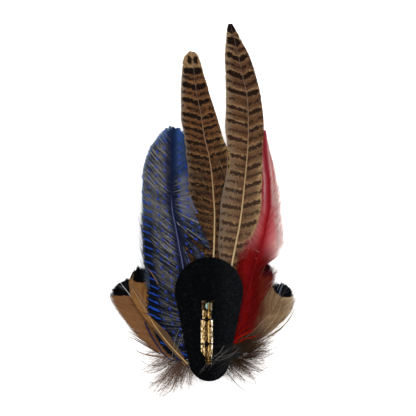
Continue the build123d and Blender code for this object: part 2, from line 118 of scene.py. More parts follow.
def spikeShape(starts, ends, half):
    # closed four-faced spikes, a small triangle drawn out to a point
    run = ends - starts
    run = run / np.maximum(np.linalg.norm(run, axis=1, keepdims=True), 1e-9)
    side = np.stack([run[:, 1], -run[:, 0], np.zeros(len(run))], axis=-1)
    side /= np.maximum(np.linalg.norm(side, axis=1, keepdims=True), 1e-9)
    rise = np.cross(side, run)
    points = np.stack([starts - side * half, starts + rise * half * 1.4, starts + side * half,
                       ends], axis=1)
    corners = np.arange(len(starts))[:, None] * 4
    faces = np.concatenate([corners + [2, 1, 0], corners + [0, 1, 3], corners + [1, 2, 3],
                            corners + [2, 0, 3]])
    return points.reshape(-1, 3), faces


def tripled(values, like):
    # one value per station of each strand, given to its three points
    return np.repeat(np.broadcast_to(values, like)[..., None], 3, axis=-1)


def newStrands(name, lines, halves, tints, material):
    # loose strands as one piece, each strand with its own shade
    points, faces = strandShape(lines, halves, halves)
    marks = {"tint": tripled(tints[:, None], halves.shape),
             "reach": tripled(np.linspace(0, 1, lines.shape[1]), halves.shape)}
    newPiece(name, points, faces, material, marks)


# Small helpers for materials
def linear(colour):
    parts = [int(colour[i:i + 2], 16) / 255 for i in (1, 3, 5)]
    return tuple(c / 12.92 if c <= 0.04045 else ((c + 0.055) / 1.055) ** 2.4 for c in parts) + (1.0,)


def addNode(tree, kind, settings, inputs, output=0):
    # settings are the node's own fields, or the stops of its colour ramp; inputs are its
    # sockets, each a constant or the pattern that feeds it; the named output goes on
    node = tree.nodes.new(kind)
    for key, value in settings.items():
        if key != "ramp":
            setattr(node, key, value)
            continue
        stops = node.color_ramp.elements
        while len(stops) < len(value):
            stops.new(1.0)
        for stop, (place, colour) in zip(stops, value):
            stop.position = place
            stop.color = linear(colour)
    for key, value in inputs.items():
        if isinstance(value, Pattern):
            tree.links.new(value.socket, node.inputs[key])
        else:
            node.inputs[key].default_value = linear(value) if isinstance(value, str) else value
    return Pattern(tree, node.outputs[output]) if node.outputs else None


class Pattern:
    # a value or colour that the shader works out at each point, with plain arithmetic on it
    def __init__(self, tree, socket):
        self.tree = tree
        self.socket = socket

    def math(self, operation, *others):
        return addNode(self.tree, "ShaderNodeMath", {"operation": operation},
                       dict(enumerate((self, *others))))

    def __add__(self, other):
        return self.math("ADD", other)

    def __sub__(self, other):
        return self.math("SUBTRACT", other)

    def __mul__(self, other):
        return self.math("MULTIPLY", other)

    def __truediv__(self, other):
        return self.math("DIVIDE", other)

    def ranged(self, low, high, start, end, way="LINEAR"):
        # start where the value is low, end where it is high
        return addNode(self.tree, "ShaderNodeMapRange", {"interpolation_type": way},
                       {"Value": self, "From Min": low, "From Max": high, "To Min": start,
                        "To Max": end})

    def rise(self, low, high):
        return self.ranged(low, high, 0.0, 1.0, "SMOOTHSTEP")

    def fall(self, low, high):
        return self.ranged(low, high, 1.0, 0.0, "SMOOTHSTEP")

    def painted(self, *coats):
        # coats go over this colour in turn: the share that each covers, and its colour
        ground = self
        for share, colour in coats:
            # the Mix node's colour sockets are 6 and 7, and its colour result is output 2
            ground = addNode(self.tree, "ShaderNodeMix", {"data_type": "RGBA"},
                             {0: share, 6: ground, 7: colour}, 2)
        return ground


def startMaterial(name):
    material = bpy.data.materials.new(name)
    material.use_nodes = True
    material.node_tree.nodes.clear()
    return material, material.node_tree


def finishMaterial(colour, shader, bump=None):
    # ends every material: shader holds the constants, bump a pattern, strength and depth in mm
    inputs = {**shader, "Base Color": colour}
    if bump:
        height, strength, depth = bump
        inputs["Normal"] = addNode(colour.tree, "ShaderNodeBump", {},
                                   {"Height": height, "Strength": strength, "Distance": depth * mm})
    body = addNode(colour.tree, "ShaderNodeBsdfPrincipled", {}, inputs)
    addNode(colour.tree, "ShaderNodeOutputMaterial", {}, {"Surface": body})


def marksOf(tree, *names):
    # the values that newPiece laid on the points
    return [addNode(tree, "ShaderNodeAttribute", {"attribute_name": name}, {}, "Fac")
            for name in names]


def placeOnPlume(tree):
    # how far right and how far up a point is, in millimetres
    place = addNode(tree, "ShaderNodeTexCoord", {}, {}, "Object")
    return [addNode(tree, "ShaderNodeSeparateXYZ", {}, {0: place}, axis) / mm
            for axis in ("X", "Y")]


def gapTo(x, y, middleX, middleY):
    # distance from a place on the plume, in millimetres
    overX, overY = x - middleX, y - middleY
    return (overX * overX + overY * overY).math("SQRT")


def noise(tree, size, detail, stretch=(1, 1, 1)):
    # size is how wide one blotch is, in millimetres
    place = addNode(tree, "ShaderNodeTexCoord", {}, {}, "Object")
    place = addNode(tree, "ShaderNodeMapping", {}, {"Vector": place, "Scale": stretch})
    return addNode(tree, "ShaderNodeTexNoise", {},
                   {"Vector": place, "Scale": 1 / (size * mm), "Detail": detail}, "Fac")


def barbNoise(tree, wide, long):
    # streaks that run with the barbs: wide across them and long along them, in millimetres
    start, margin = marksOf(tree, "start", "margin")
    place = addNode(tree, "ShaderNodeCombineXYZ", {}, {"X": start / wide, "Y": margin / long})
    streaks = addNode(tree, "ShaderNodeTexNoise", {"noise_dimensions": "2D"},
                      {"Vector": place, "Scale": 1.0, "Detail": 2.0}, "Fac")
    return streaks.rise(0.3, 0.7)


featherShader = {"Roughness": 0.7, "Specular IOR Level": 0.03}


# Barred pheasant tail: keratin barbs, buff with brown-black bars whose edges break from
# barb to barb, greyer and mottled toward the quill, with a worn pale margin
def pheasantTail(name, look):
    material, tree = startMaterial(name)
    bar, tint, along, across, margin = marksOf(tree, "bar", "tint", "along", "across", "margin")
    share = along / look["length"]
    ground, bars, paler = [
        addNode(tree, "ShaderNodeValToRGB", {"ramp": look[key]}, {"Fac": share})
        for key in ("ground", "bars", "pale")]
    away = across.math("ABSOLUTE")
    left = across.math("LESS_THAN", 0.0)
    right = across.math("GREATER_THAN", 0.0)
    fine = noise(tree, look["fineSize"], 3)
    streaks = barbNoise(tree, *look["streakSize"])
    # where a point lies between two bars: 0 on a bar, 0.5 halfway, shaken from barb to barb
    wander = share.ranged(*look["wanderZone"], look["wanderLow"], look["wanderHigh"])
    shaken = bar + (fine - 0.5) * wander + (tint - 0.5) * look["barbShake"]
    phase = shaken.math("PINGPONG", 0.5)
    above = shaken.math("FRACT").math("GREATER_THAN", 0.5)
    barHalf = share.ranged(look["barFrom"], look["barTo"], look["barLow"], look["barHigh"])
    barHalf = barHalf + share.rise(*look["topZone"]) * look["topBar"]
    barHalf = barHalf + (noise(tree, look["swellSize"], 2) - 0.5) * look["swell"]
    beyond = phase - barHalf * (margin.rise(0.0, look["thinsFrom"]) * 0.45 + 0.6)
    ends = margin.fall(*look["endWidth"]) * share.fall(*look["endZone"])
    main = beyond.fall(*look["barEdge"]) * (ends * -0.7 + 1.0)
    halo = beyond.fall(0.05, look["haloTo"]) * (barbNoise(tree, *look["haloSize"]) * 0.5 + 0.25)
    halo = halo * (above * 0.8 + 0.5)
    patchy = noise(tree, look["patchSize"], 3).rise(look["patchFrom"], look["patchFrom"] + 0.12)
    thin = phase.rise(look["thinFrom"], look["thinFrom"] + 0.07) * patchy * look["thinShare"]
    # the ground between the bars
    low, high = look["rimZone"]
    rim = margin.fall(0.5, look["rimWidth"]) * right * (streaks * 0.8 + 0.4)
    rim = rim * along.rise(low, low + look["rimEase"]) * along.fall(high - look["rimEase"], high)
    rim = rim * (noise(tree, look["fleckSize"], 2).rise(0.38, 0.56) * 0.65 + 0.35)
    colour = ground.painted(
        (away.fall(0.5, look["warmWidth"]) * look["warmShare"], look["warm"]),
        (noise(tree, look["mottleSize"], 2).rise(0.45, 0.7) * look["mottleShare"], look["mottle"]),
        (halo, look["halo"]),
        ((streaks + tint * 0.4) * look["streakShare"], look["streak"]),
        (noise(tree, look["broadSize"], 2).rise(0.4, 0.75) * look["deepShare"], look["deep"]),
        (margin.fall(0.0, look["outerWidth"]) * left * look["outerShare"], paler),
        (rim * 0.95, look["rim"]),
        (main.math("MAXIMUM", thin), bars),
        (ends * left * look["paleShare"], paler))
    if "eyes" in look:
        # a tan tip with two dark eyes
        eyeAlong, eyeAcross, eyeLong, eyeWide = look["eyes"]
        tipStart, tipFull = look["tipZone"]
        tip = (along + tint * look["tipRagged"]).rise(eyeAlong - tipStart, eyeAlong - tipFull)
        down = (along - eyeAlong) / eyeLong
        over = (away - eyeAcross) / eyeWide
        apart = down * down + over * over + fine * 0.9 + streaks * 0.55
        tan = addNode(tree, "ShaderNodeValToRGB", {"ramp": look["tip"]},
                      {"Fac": barbNoise(tree, *look["tipSize"]) * 0.7})
        colour = colour.painted((tip * (streaks * -0.45 + 1.0), tan),
                                (apart.fall(*look["eyeEdge"]), look["eye"]))
    finishMaterial(colour, featherShader, (fine, 0.25, 0.2))
    return material


# Dyed guinea fowl: dark barbs with cobalt spots where the white ones took the dye
def dyedGuinea(name, look):
    material, tree = startMaterial(name)
    tint, along, across, margin = marksOf(tree, "tint", "along", "across", "margin")
    away = across.math("ABSOLUTE")
    left = across.math("LESS_THAN", 0.0)
    right = across.math("GREATER_THAN", 0.0)
    grain = noise(tree, look["grainSize"], 3)
    fleck = grain * 0.4 + tint * 0.26 + barbNoise(tree, *look["streakSize"]) * 0.34
    fleck = fleck * (right * -0.12 + 1.0)
    low = along.fall(*look["lowZone"])
    outer = margin.fall(*look["edgeWidth"]) * left * low
    mist = away.rise(3.5, 6.5) * right * along.rise(*look["mistFrom"]) * along.fall(*look["mistTo"])
    middle = along.rise(*look["greyFrom"]) * along.fall(*look["greyTo"]) * left * grain
    # spots sit where leaning rows and columns cross
    place = addNode(tree, "ShaderNodeCombineXYZ", {},
                    {"X": along / look["pitch"] + across * (0.5 / look["columns"]),
                     "Y": across / look["columns"]})
    cells = addNode(tree, "ShaderNodeTexVoronoi", {"voronoi_dimensions": "2D"},
                    {"Vector": place, "Scale": 1.0, "Randomness": look["scatter"]}, "Distance")
    spot = (cells + grain * 0.12).fall(*look["spotEdge"]) * away.rise(2.2, 3.2)
    spot = spot * (outer * -1.0 + 1.0)
    # stripes cross the outer margin instead of spots
    leaning = (along + across * look["stripeLean"]) / look["pitch"]
    stripe = leaning.math("FRACT").math("LESS_THAN", look["stripeShare"])
    stripe = stripe * margin.rise(0.5, 1.2) * margin.fall(7.4, 8.4) * left * low.rise(0.08, 0.3)
    veil = margin.fall(0.6, 2.6) * left * along.rise(*look["veilZone"])
    barbs = addNode(tree, "ShaderNodeValToRGB", {"ramp": look["barbs"]}, {"Fac": fleck})
    colour = barbs.painted(
        (mist * 0.5, look["mist"]),
        (right * along.rise(*look["smoothZone"]) * 0.8, look["smooth"]),
        (middle * 0.3, look["midGrey"]),
        (along.rise(*look["tipZone"]) * 0.7, look["tips"]),
        # painted shade: the navy band along the shaft stands for the shade in the trough the vane
        # makes there
        (away.fall(1.2, 5.2) * 0.85, look["navy"]),
        (along.fall(*look["duskZone"]) * 0.68, look["dusk"]),
        (outer * 0.95, look["edge"]),
        (veil * 0.75, look["rim"]),
        (spot * 0.9, look["cobalt"]),
        (stripe * 0.95, look["stripeBlue"]))
    finishMaterial(colour, featherShader, (grain, 0.2, 0.2))
    return material


# Dyed hackle: crimson along the shaft, the dye thinning to pink in the loose outer barbs
def dyedHackle(name, look):
    material, tree = startMaterial(name)
    tint, along, across, reach = marksOf(tree, "tint", "along", "across", "reach")
    place = (across + (tint - 0.5) * 0.6 + look["span"]) / (2 * look["span"])
    deep, middle, high = [
        addNode(tree, "ShaderNodeValToRGB", {"ramp": look[key]}, {"Fac": place})
        for key in ("deep", "middle", "high")]
    upper = middle.painted((along.rise(*look["highZone"]), high))
    tips = reach.rise(0.78, 1.0) * along.rise(*look["creamFrom"]) * along.fall(*look["creamTo"])
    tips = tips * across.math("GREATER_THAN", 0.0) * (barbNoise(tree, *look["tipSize"]) * 0.9 + 0.25)
    colour = deep.painted(
        ((along + place * look["deepLean"]).rise(*look["deepZone"]), upper),
        (barbNoise(tree, *look["streakSize"]) * 0.42, look["streak"]),
        (tips * 0.9, look["cream"]))
    finishMaterial(colour, featherShader)
    return material


# Pheasant body feather: smooth tan barbs, each ending black past a sharp line near the tip
def bodyFeather(name, look):
    material, tree = startMaterial(name)
    tint, along, across, margin = marksOf(tree, "tint", "along", "across", "margin")
    x, y = placeOnPlume(tree)
    grain = noise(tree, look["grainSize"], 3)
    shade = tint * 0.35 + grain * 0.3 + barbNoise(tree, *look["streakSize"]) * 0.35
    colour = addNode(tree, "ShaderNodeValToRGB", {"ramp": look["tan"]}, {"Fac": shade})
    low = along.fall(look["downTo"] - look["downEase"], look["downTo"])
    colour = colour.painted((low * 0.8, look["down"]))
    if "stain" in look:
        stained = across.fall(*look["stainSpan"]) * along.fall(*look["stainTo"])
        colour = colour.painted((stained * 0.85, look["stain"]))
    if "edgePale" in look:
        bright = margin.fall(*look["paleWidth"]) * across.math("GREATER_THAN", 0.0)
        bright = bright * barbNoise(tree, *look["paleSize"]).rise(0.3, 0.6)
        colour = colour.painted((bright * 0.8, look["edgePale"]))
    middleX, middleY, radius = look["tip"]
    edge = gapTo(x, y, middleX, middleY) + (tint - 0.5) * look["tipRagged"]
    tip = edge.fall(radius - look["tipEase"], radius + look["tipEase"])
    black = addNode(tree, "ShaderNodeValToRGB", {"ramp": look["black"]}, {"Fac": tint})
    finishMaterial(colour.painted((tip, black)), featherShader, (grain, 0.2, 0.2))
    return material


# Feather shaft: smooth horn, pale where it is thick and brown toward the tip
def quillHorn(name, stops, length, gloss):
    material, tree = startMaterial(name)
    streak = noise(tree, 0.8, 3, (1, 0.12, 1))
    share = marksOf(tree, "along")[0] / length + (streak - 0.5) * 0.06
    colour = addNode(tree, "ShaderNodeValToRGB", {"ramp": stops}, {"Fac": share})
    colour = colour.painted((streak.rise(0.45, 0.7) * 0.35, "#3a2a1c"))
    finishMaterial(colour, {"Roughness": 0.42, "Specular IOR Level": gloss}, (streak, 0.15, 0.1))
    return material


# Down and loose barbs: matt fibre, each strand its own shade
def looseFibre(name, stops, rough=0.8, tipShare=0.35):
    material, tree = startMaterial(name)
    tint, reach = marksOf(tree, "tint", "reach")
    colour = addNode(tree, "ShaderNodeValToRGB", {"ramp": stops},
                     {"Fac": tint * (1 - tipShare) + reach * tipShare})
    finishMaterial(colour, {"Roughness": rough, "Specular IOR Level": 0.03})
    return material


# Needled wool felt, dyed black: matt, with a nap that catches a little light, and painted
# light that makes the right side lighter
def blackFelt(name, look):
    material, tree = startMaterial(name)
    nap = noise(tree, look["napSize"], 4)
    x, _ = placeOnPlume(tree)
    colour = addNode(tree, "ShaderNodeValToRGB", {"ramp": look["wool"]}, {"Fac": nap})
    colour = colour.painted(
        (noise(tree, look["patchSize"], 2).rise(0.5, 0.75) * 0.5, look["patch"]),
        # painted light: the right side of the felt made lighter
        (x.rise(*look["paintedLightZone"]) * nap.rise(0.3, 0.65) * 0.6, look["paintedLight"]))
    finishMaterial(colour, {"Roughness": 0.95, "Specular IOR Level": 0.03}, (nap, 0.8, 0.4))
    return material


# Gilt stamped brass: worn plating, grainy between a dark fold line of painted shadow and a folded
# edge with a painted highlight
def giltBrass(name, look):
    material, tree = startMaterial(name)
    grain = noise(tree, look["grain"], 4, (1, 0.5, 1))
    colour = addNode(tree, "ShaderNodeValToRGB", {"ramp": look["metal"]}, {"Fac": grain})
    x, y = placeOnPlume(tree)
    # painted light and shade in bands from left to right: on the bar, painted highlights on the
    # folded edges and painted shadow lines beside the needle; on the needle, a painted highlight
    # down its middle and painted shade on its flanks
    if "lightAndShadeBands" in look:
        lightAndShadeBands = addNode(tree, "ShaderNodeValToRGB", {"ramp": look["lightAndShadeBands"]},
                        {"Fac": x.ranged(*look["lightAndShadeSpan"], 0.0, 1.0)})
        colour = addNode(tree, "ShaderNodeMix", {"data_type": "RGBA", "blend_type": "MULTIPLY"},
                         {0: 1.0, 6: colour, 7: lightAndShadeBands}, 2)
    for holeX, holeY in look.get("holes", ()):
        # wax, dirt and a painted contact shadow round the diamond hole of a stitch, and under its
        # thread
        spanX = (x - holeX).math("ABSOLUTE")
        spanY = (y - holeY).math("ABSOLUTE")
        shadeAndDirt = (spanX + spanY).fall(*look["holeEdge"])
        shadeAndDirt = shadeAndDirt.math("MAXIMUM", spanY.fall(*look["threadEdge"]))
        colour = colour.painted((shadeAndDirt, look["shadeAndDirt"]))
    if "footTo" in look:
        foot = y.fall(look["footTo"] - 2, look["footTo"])
        colour = colour.painted((foot * 0.72, look["footShade"]))
    if "catchShade" in look:
        # painted shade, soot-brown, inside the opening of the catch, and a painted blue-green
        # reflection on its rounded wall
        inside = y.rise(*look["catchShadeFrom"]) * x.fall(*look["catchShadeTo"])
        moonX, moonY, radius = look["moon"]
        moon = gapTo(x, y, moonX, moonY).math("LESS_THAN", radius)
        moon = moon * x.math("LESS_THAN", look["moonTo"])
        colour = colour.painted((inside * 0.9, look["catchShade"]), (moon * 0.9, look["catchReflection"]))
    finishMaterial(colour, {"Metallic": 1.0, "Roughness": look["rough"]}, (grain, look["pits"], 0.4))
    return material


# Waxed black sewing thread: two plies, so fine slanting ridges
def blackThread(name):
    material, tree = startMaterial(name)
    place = addNode(tree, "ShaderNodeTexCoord", {}, {}, "Object")
    ply = addNode(tree, "ShaderNodeTexWave", {"bands_direction": "DIAGONAL"},
                  {"Vector": place, "Scale": 900.0, "Distortion": 0.5}, "Fac")
    colour = addNode(tree, "ShaderNodeValToRGB",
                     {"ramp": [(0.2, "#040404"), (0.9, "#17171a")]}, {"Fac": ply})
    finishMaterial(colour, {"Roughness": 0.6, "Specular IOR Level": 0.3}, (ply, 0.6, 0.2))
    return material


# Feathers: how every vane and shaft is drawn, in millimetres or as shares
vaneShape = {
    # the outline's points along the edge and round the tip, and how far the tip bulges
    "outlinePoints": 320, "tipPoints": 24, "tipRound": 0.15,
    # where the last barb starts, how uneven their spacing and reach are, how groups draw in
    "stopShort": 0.1, "uneven": 0.12, "plainTip": (0.94, 0.985), "wornTip": (0.82, 0.96),
    "ownReach": 0.8, "drawIn": 2.2,
    # width of a barb, wider at the feather's tip and narrower on a sparse stretch
    "narrowest": 0.12, "widest": 1.3, "wideTip": (0.93, 1.0), "tipWidening": 0.5,
    "sparseEase": 6.0, "sparseReach": 0.25,
    # how much of its shade is a barb's own and how much is its group's
    "ownTint": 0.6, "groupTint": 0.4,
    # slow waves along the vane, steps between groups and lifted stretches
    "longWave": 7.3, "shortWave": 3.1, "waveTurn": 5.0, "groupLevel": 0.035, "liftEase": 8.0,
    # how a split opens, and the tilt and ridge of each barb
    "splitCurve": 1.3, "tilt": 0.05, "ridge": (0.05, 0.45),
}
shaftShape = {"points": 90, "sides": 12, "groove": 0.28, "grooveWidth": 0.4, "taper": 0.03,
              "blunt": 0.25}


def placeOf(feather):
    # where the root of the shaft lies, and which way is ahead and to the right of it
    turn = math.radians(feather["heading"])
    ahead = np.array([math.sin(turn), math.cos(turn)])
    right = np.array([ahead[1], -ahead[0]])
    side, below = feather["quill"]
    return np.array([feltMiddle + side, feltHeadY - below]), ahead, right


def levelAt(feather, share):
    # height of the shaft above the table
    rows = np.array(feather["rows"])
    rootLevel, tipLevel = feather["levels"]
    return rootLevel - softCurve(share, rows[:, 0], rows[:, 4]) * (rootLevel - tipLevel)


def edgeOf(feather, share, side):
    # how far right of the root the vane's edge lies, and the shaft for side 0
    rows = np.array(feather["rows"])
    return softCurve(share, rows[:, 0], rows[:, {-1: 2, 0: 1, 1: 3}[side]]) * feather["width"]


def onStretch(along, low, high, ease):
    # 1 on a stretch of the feather and 0 beyond its ends
    return easeBetween(low, low + ease, along) * (1 - easeBetween(high - ease, high, along))


def growVane(feather, side):
    # barbs from the shaft to the outline on one side: lines, half widths and marks
    rng = np.random.default_rng(feather["seed"] * 10 + side)
    length, spacing = feather["length"], feather["spacing"]
    aims = np.array(feather["aims"])
    # the outline: the edge of the vane, then round its tip
    share = np.linspace(feather["rows"][0][0], 1, vaneShape["outlinePoints"])
    edge = edgeOf(feather, share, side)
    tipShaft = feather["rows"][-1][1] * feather["width"]
    turn = np.linspace(0, math.pi / 2, vaneShape["tipPoints"])[1:]
    tipHigh = abs(edge[-1] - tipShaft) * vaneShape["tipRound"]
    outX = np.concatenate([edge, tipShaft + (edge[-1] - tipShaft) * np.cos(turn)])
    outS = np.concatenate([share * length, length + tipHigh * np.sin(turn)])
    # each barb starts on the shaft and runs at its angle until it meets the outline
    starts = np.arange(feather["vaneFrom"] * length, length - vaneShape["stopShort"], spacing)
    starts = starts + rng.normal(0, vaneShape["uneven"] * spacing, len(starts))
    rootShare = starts / length
    thick, thin = feather["shaft"]
    rootX = edgeOf(feather, rootShare, 0) + side * 0.5 * (thick + (thin - thick) * rootShare)
    aim = np.radians(np.interp(rootShare, aims[:, 0], aims[:, 1 if side < 0 else 2]))
    bearing = np.arctan2((outX[None] - rootX[:, None]) * side, outS[None] - starts[:, None])
    bearing = np.where(bearing < -math.pi / 2, bearing + 2 * math.pi, bearing)
    met = bearing <= aim[:, None]
    hit = np.where(met.any(axis=1), np.argmax(met, axis=1), len(outX) - 1)
    hit = np.maximum(hit, 1)
    pick = np.arange(len(starts))
    before, after = bearing[pick, hit - 1], bearing[pick, hit]
    part = np.clip((before - aim) / np.maximum(before - after, 1e-6), 0, 1)
    q = np.maximum.accumulate(hit - 1 + part)
    soft = feather["soften"]
    smooth = np.convolve(np.pad(q, soft // 2, mode="edge"), np.ones(soft) / soft, "valid")
    q = smooth + easeBetween(*vaneShape["plainTip"], rootShare) * (q - smooth)
    grid = np.arange(len(outX))
    ends = np.stack([np.interp(q, grid, outS), np.interp(q, grid, outX)], axis=-1)
    # barbs cling together in small groups, whose tips draw in
    groups = np.cumsum(rng.random(len(starts)) < 1 / feather["clumpSize"])
    middle = np.array([q[groups == g].mean() for g in groups])
    pull = (rng.random(groups.max() + 1) * feather["clump"])[groups]
    qDrawn = q + pull * (middle - q)
    drawn = np.stack([np.interp(qDrawn, grid, outS), np.interp(qDrawn, grid, outX)], axis=-1)
    t = np.linspace(0, 1, feather["steps"])
    worn = 1 + feather["tipRagged"] * easeBetween(*vaneShape["wornTip"], rootShare)
    worn = feather["ragged"] * worn
    reach = 1 + rng.normal(0, 1, groups.max() + 1)[groups] * worn
    reach = reach + rng.normal(0, vaneShape["ownReach"], len(starts)) * worn
    tt = (t[None] * reach[:, None])[..., None]
    # each barb bows a little between its root and its end
    roots = np.stack([starts, rootX], axis=-1)
    chord = ends - roots
    bend = side * np.stack([-chord[:, 1], chord[:, 0]], axis=-1) * feather["bow"]
    control = roots + 0.5 * chord + bend
    plan = ((1 - tt) ** 2 * roots[:, None] + 2 * tt * (1 - tt) * control[:, None]
            + tt ** 2 * ends[:, None])
    # it is as wide as its distance from the next one, and less where the vane frays
    gap = np.gradient(plan, axis=0)
    run = np.gradient(plan, axis=1)
    run = run / np.maximum(np.linalg.norm(run, axis=-1, keepdims=True), 1e-9)
    apart = np.abs(gap[..., 0] * run[..., 1] - gap[..., 1] * run[..., 0])
    apart = np.clip(apart, vaneShape["narrowest"], vaneShape["widest"])
    frayed = easeBetween(feather["fray"], 1.0, tt[..., 0])
    cover = feather["cover"] * (1 - (1 - feather["edgeCover"]) * frayed)
    along = plan[..., 0]
    for sideOf, low, high, fromReach, amount in feather["sparse"]:
        if sideOf == side:
            outward = easeBetween(fromReach, fromReach + vaneShape["sparseReach"], tt[..., 0])
            cover = cover * (1 - amount * outward
                             * onStretch(along, low, high, vaneShape["sparseEase"]))
    atTip = easeBetween(*vaneShape["wideTip"], along / length)
    half = 0.5 * apart * cover * (1 + vaneShape["tipWidening"] * atTip)
    across = plan[..., 1] - edgeOf(feather, np.clip(along / length, 0, 1), 0)
    plan = plan + tt ** vaneShape["drawIn"] * (drawn - ends)[:, None]
    tint = vaneShape["ownTint"] * rng.random(len(starts))
    tint = tint + vaneShape["groupTint"] * rng.random(groups.max() + 1)[groups]
    marks = {
        "along": along,
        "across": across,
        "reach": tt[..., 0],
        "margin": (1 - t)[None] * np.linalg.norm(chord, axis=-1)[:, None],
        "start": starts[:, None] + 0 * along,
        "tint": tint[:, None] + 0 * along,
    }
    if "leftBars" in feather:
        # counts the dark bars from the tip, each slanting back from the shaft
        bars = feather["leftBars" if side < 0 else "rightBars"]
        slopes = np.array(feather["barSlope"])
        slope = np.interp(along, slopes[:, 0], slopes[:, 1 if side < 0 else 2])
        place = along - slope * np.abs(across)
        marks["bar"] = np.interp(place, bars[::-1], np.arange(len(bars))[::-1].astype(float))
    # level: the fall of the shaft, a cupped cross-section, slow waves and lifted stretches
    level = levelAt(feather, np.clip(along / length, 0, 1))
    wave = 0.5 * np.sin(along / vaneShape["longWave"] + side + feather["seed"]) + 0.5 * np.sin(
        along / vaneShape["shortWave"] + vaneShape["waveTurn"] * tt[..., 0] + feather["seed"])
    level = level + tt[..., 0] ** 2 * (feather["cup"] + feather["wave"] * wave)
    offLevel = rng.normal(0, vaneShape["groupLevel"], groups.max() + 1)[groups]
    level = level + offLevel[:, None] * tt[..., 0]
    for sideOf, low, high, fromReach, lift in feather["lifts"]:
        if sideOf == side:
            zone = onStretch(along, low, high, vaneShape["liftEase"])
            level = level + lift * zone * easeBetween(fromReach, 1.0, tt[..., 0])
    # splits push the barbs on their two sides apart
    for sideOf, apexS, apexX, mouthS, mouthX, mouthHalf, spread in feather["splits"]:
        if sideOf != side:
            continue
        onward = np.array([mouthS - apexS, mouthX - apexX])
        depth = np.linalg.norm(onward)
        onward = onward / depth
        offset = plan - np.array([apexS, apexX])
        u = offset @ onward
        v = offset[..., 0] * -onward[1] + offset[..., 1] * onward[0]
        opened = np.clip(u / depth, 0, 1.3) ** vaneShape["splitCurve"]
        push = np.where(v[:, -1:] >= 0, 1.0, -1.0) * mouthHalf * opened * np.exp(
            -np.abs(v) / spread)
        plan = plan + push[..., None] * np.array([-onward[1], onward[0]])
    root, ahead, right = placeOf(feather)
    flat = root + plan[..., :1] * ahead + plan[..., 1:] * right
    return np.concatenate([flat, level[..., None]], axis=-1), half, marks


def makeFeather(feather, vaneMaterial, shaftMaterial):
    lines, halves, marks = zip(*[growVane(feather, side) for side in (-1, 1)])
    lines, halves = np.concatenate(lines), np.concatenate(halves)
    marks = {key: tripled(np.concatenate([m[key] for m in marks]), halves.shape)
             for key in marks[0]}
    lowRidge, ridgeShare = vaneShape["ridge"]
    points, faces = strandShape(lines, halves, lowRidge + ridgeShare * halves, vaneShape["tilt"])
    newPiece(feather["name"] + "_vane", points, faces, vaneMaterial, marks,
             (feather["node"],))
    # shaft: a tube with a shallow groove along its face, closed at both ends
    share = np.linspace(0, feather["shaftTo"], shaftShape["points"])
    root, ahead, right = placeOf(feather)
    shaftX = edgeOf(feather, share, 0)
    flat = root + (share * feather["length"])[:, None] * ahead + shaftX[:, None] * right
    thick, thin = feather["shaft"]
    radius = thick + (thin - thick) * share ** feather["shaftPower"]
    radius = radius * np.clip((1.0 - share) / shaftShape["taper"] + shaftShape["blunt"], 0, 1)
    count = shaftShape["sides"]
    turn = np.arange(count) / count * 2 * math.pi
    fromTop = np.minimum(turn, 2 * math.pi - turn) / shaftShape["grooveWidth"]
    rise = np.cos(turn) - shaftShape["groove"] * np.exp(-fromTop ** 2)
    ring = np.zeros((len(share), count, 3))
    tangent = np.gradient(flat, axis=0)
    tangent /= np.linalg.norm(tangent, axis=1, keepdims=True)
    sideways = np.stack([tangent[:, 1], -tangent[:, 0]], axis=-1)
    ring[..., :2] = flat[:, None] + sideways[:, None] * (radius[:, None] * np.sin(turn))[..., None]
    ring[..., 2] = levelAt(feather, share)[:, None] + radius[:, None] * rise[None]
    index = np.arange(ring.shape[0] * count).reshape(-1, count)
    near, far = index[:-1], index[1:]
    quads = np.stack([near, np.roll(near, -1, 1), np.roll(far, -1, 1), far], axis=-1)
    faces = quads.reshape(-1, 4).tolist() + [index[0, ::-1].tolist(), index[-1].tolist()]
    marks = {"along": np.repeat(share * feather["length"], count)}
    shaft = newPiece(feather["name"] + "_shaft", ring, faces, shaftMaterial, marks)
    shaft.data.shade_smooth()
    print("feather made:", feather["name"], len(lines), "barbs")


# Quill: the root's place, right of and below the middle of the felt's head. Levels: height of
# root and tip above the table. Shaft: half its width at root and tip.
# Rows: along, shaft, left, right, drop, as shares. Aims: along, then the barbs' angle from
# the shaft on the left and right. Lifts and sparse: side, from, to, from what reach, amount.
# Splits: side, apex along and across, mouth along and across, half its width, spread.
anyFeather = {
    "heading": 0.0, "width": 24.0, "shaft": (0.5, 0.25), "shaftPower": 1.0, "shaftTo": 0.995,
    "spacing": 0.36, "bow": 0.10, "ragged": 0.03, "tipRagged": 1, "soften": 9, "cup": 0.3,
    "wave": 0.12, "fringeHalf": 0.05, "fringeInset": 1.8, "lifts": (), "sparse": (), "splits": (),
}
anyTail = {**anyFeather, "slot": "pheasant_tail", "shaft": (0.76, 0.15), "shaftPower": 0.8,
           "vaneFrom": 0.03, "steps": 10, "cover": 1.35, "edgeCover": 0.75, "fray": 0.85,
           "clump": 0.03}
anyBody = {**anyFeather, "slot": "tan_body", "spacing": 0.30, "steps": 11, "cover": 1.3,
           "edgeCover": 0.35}
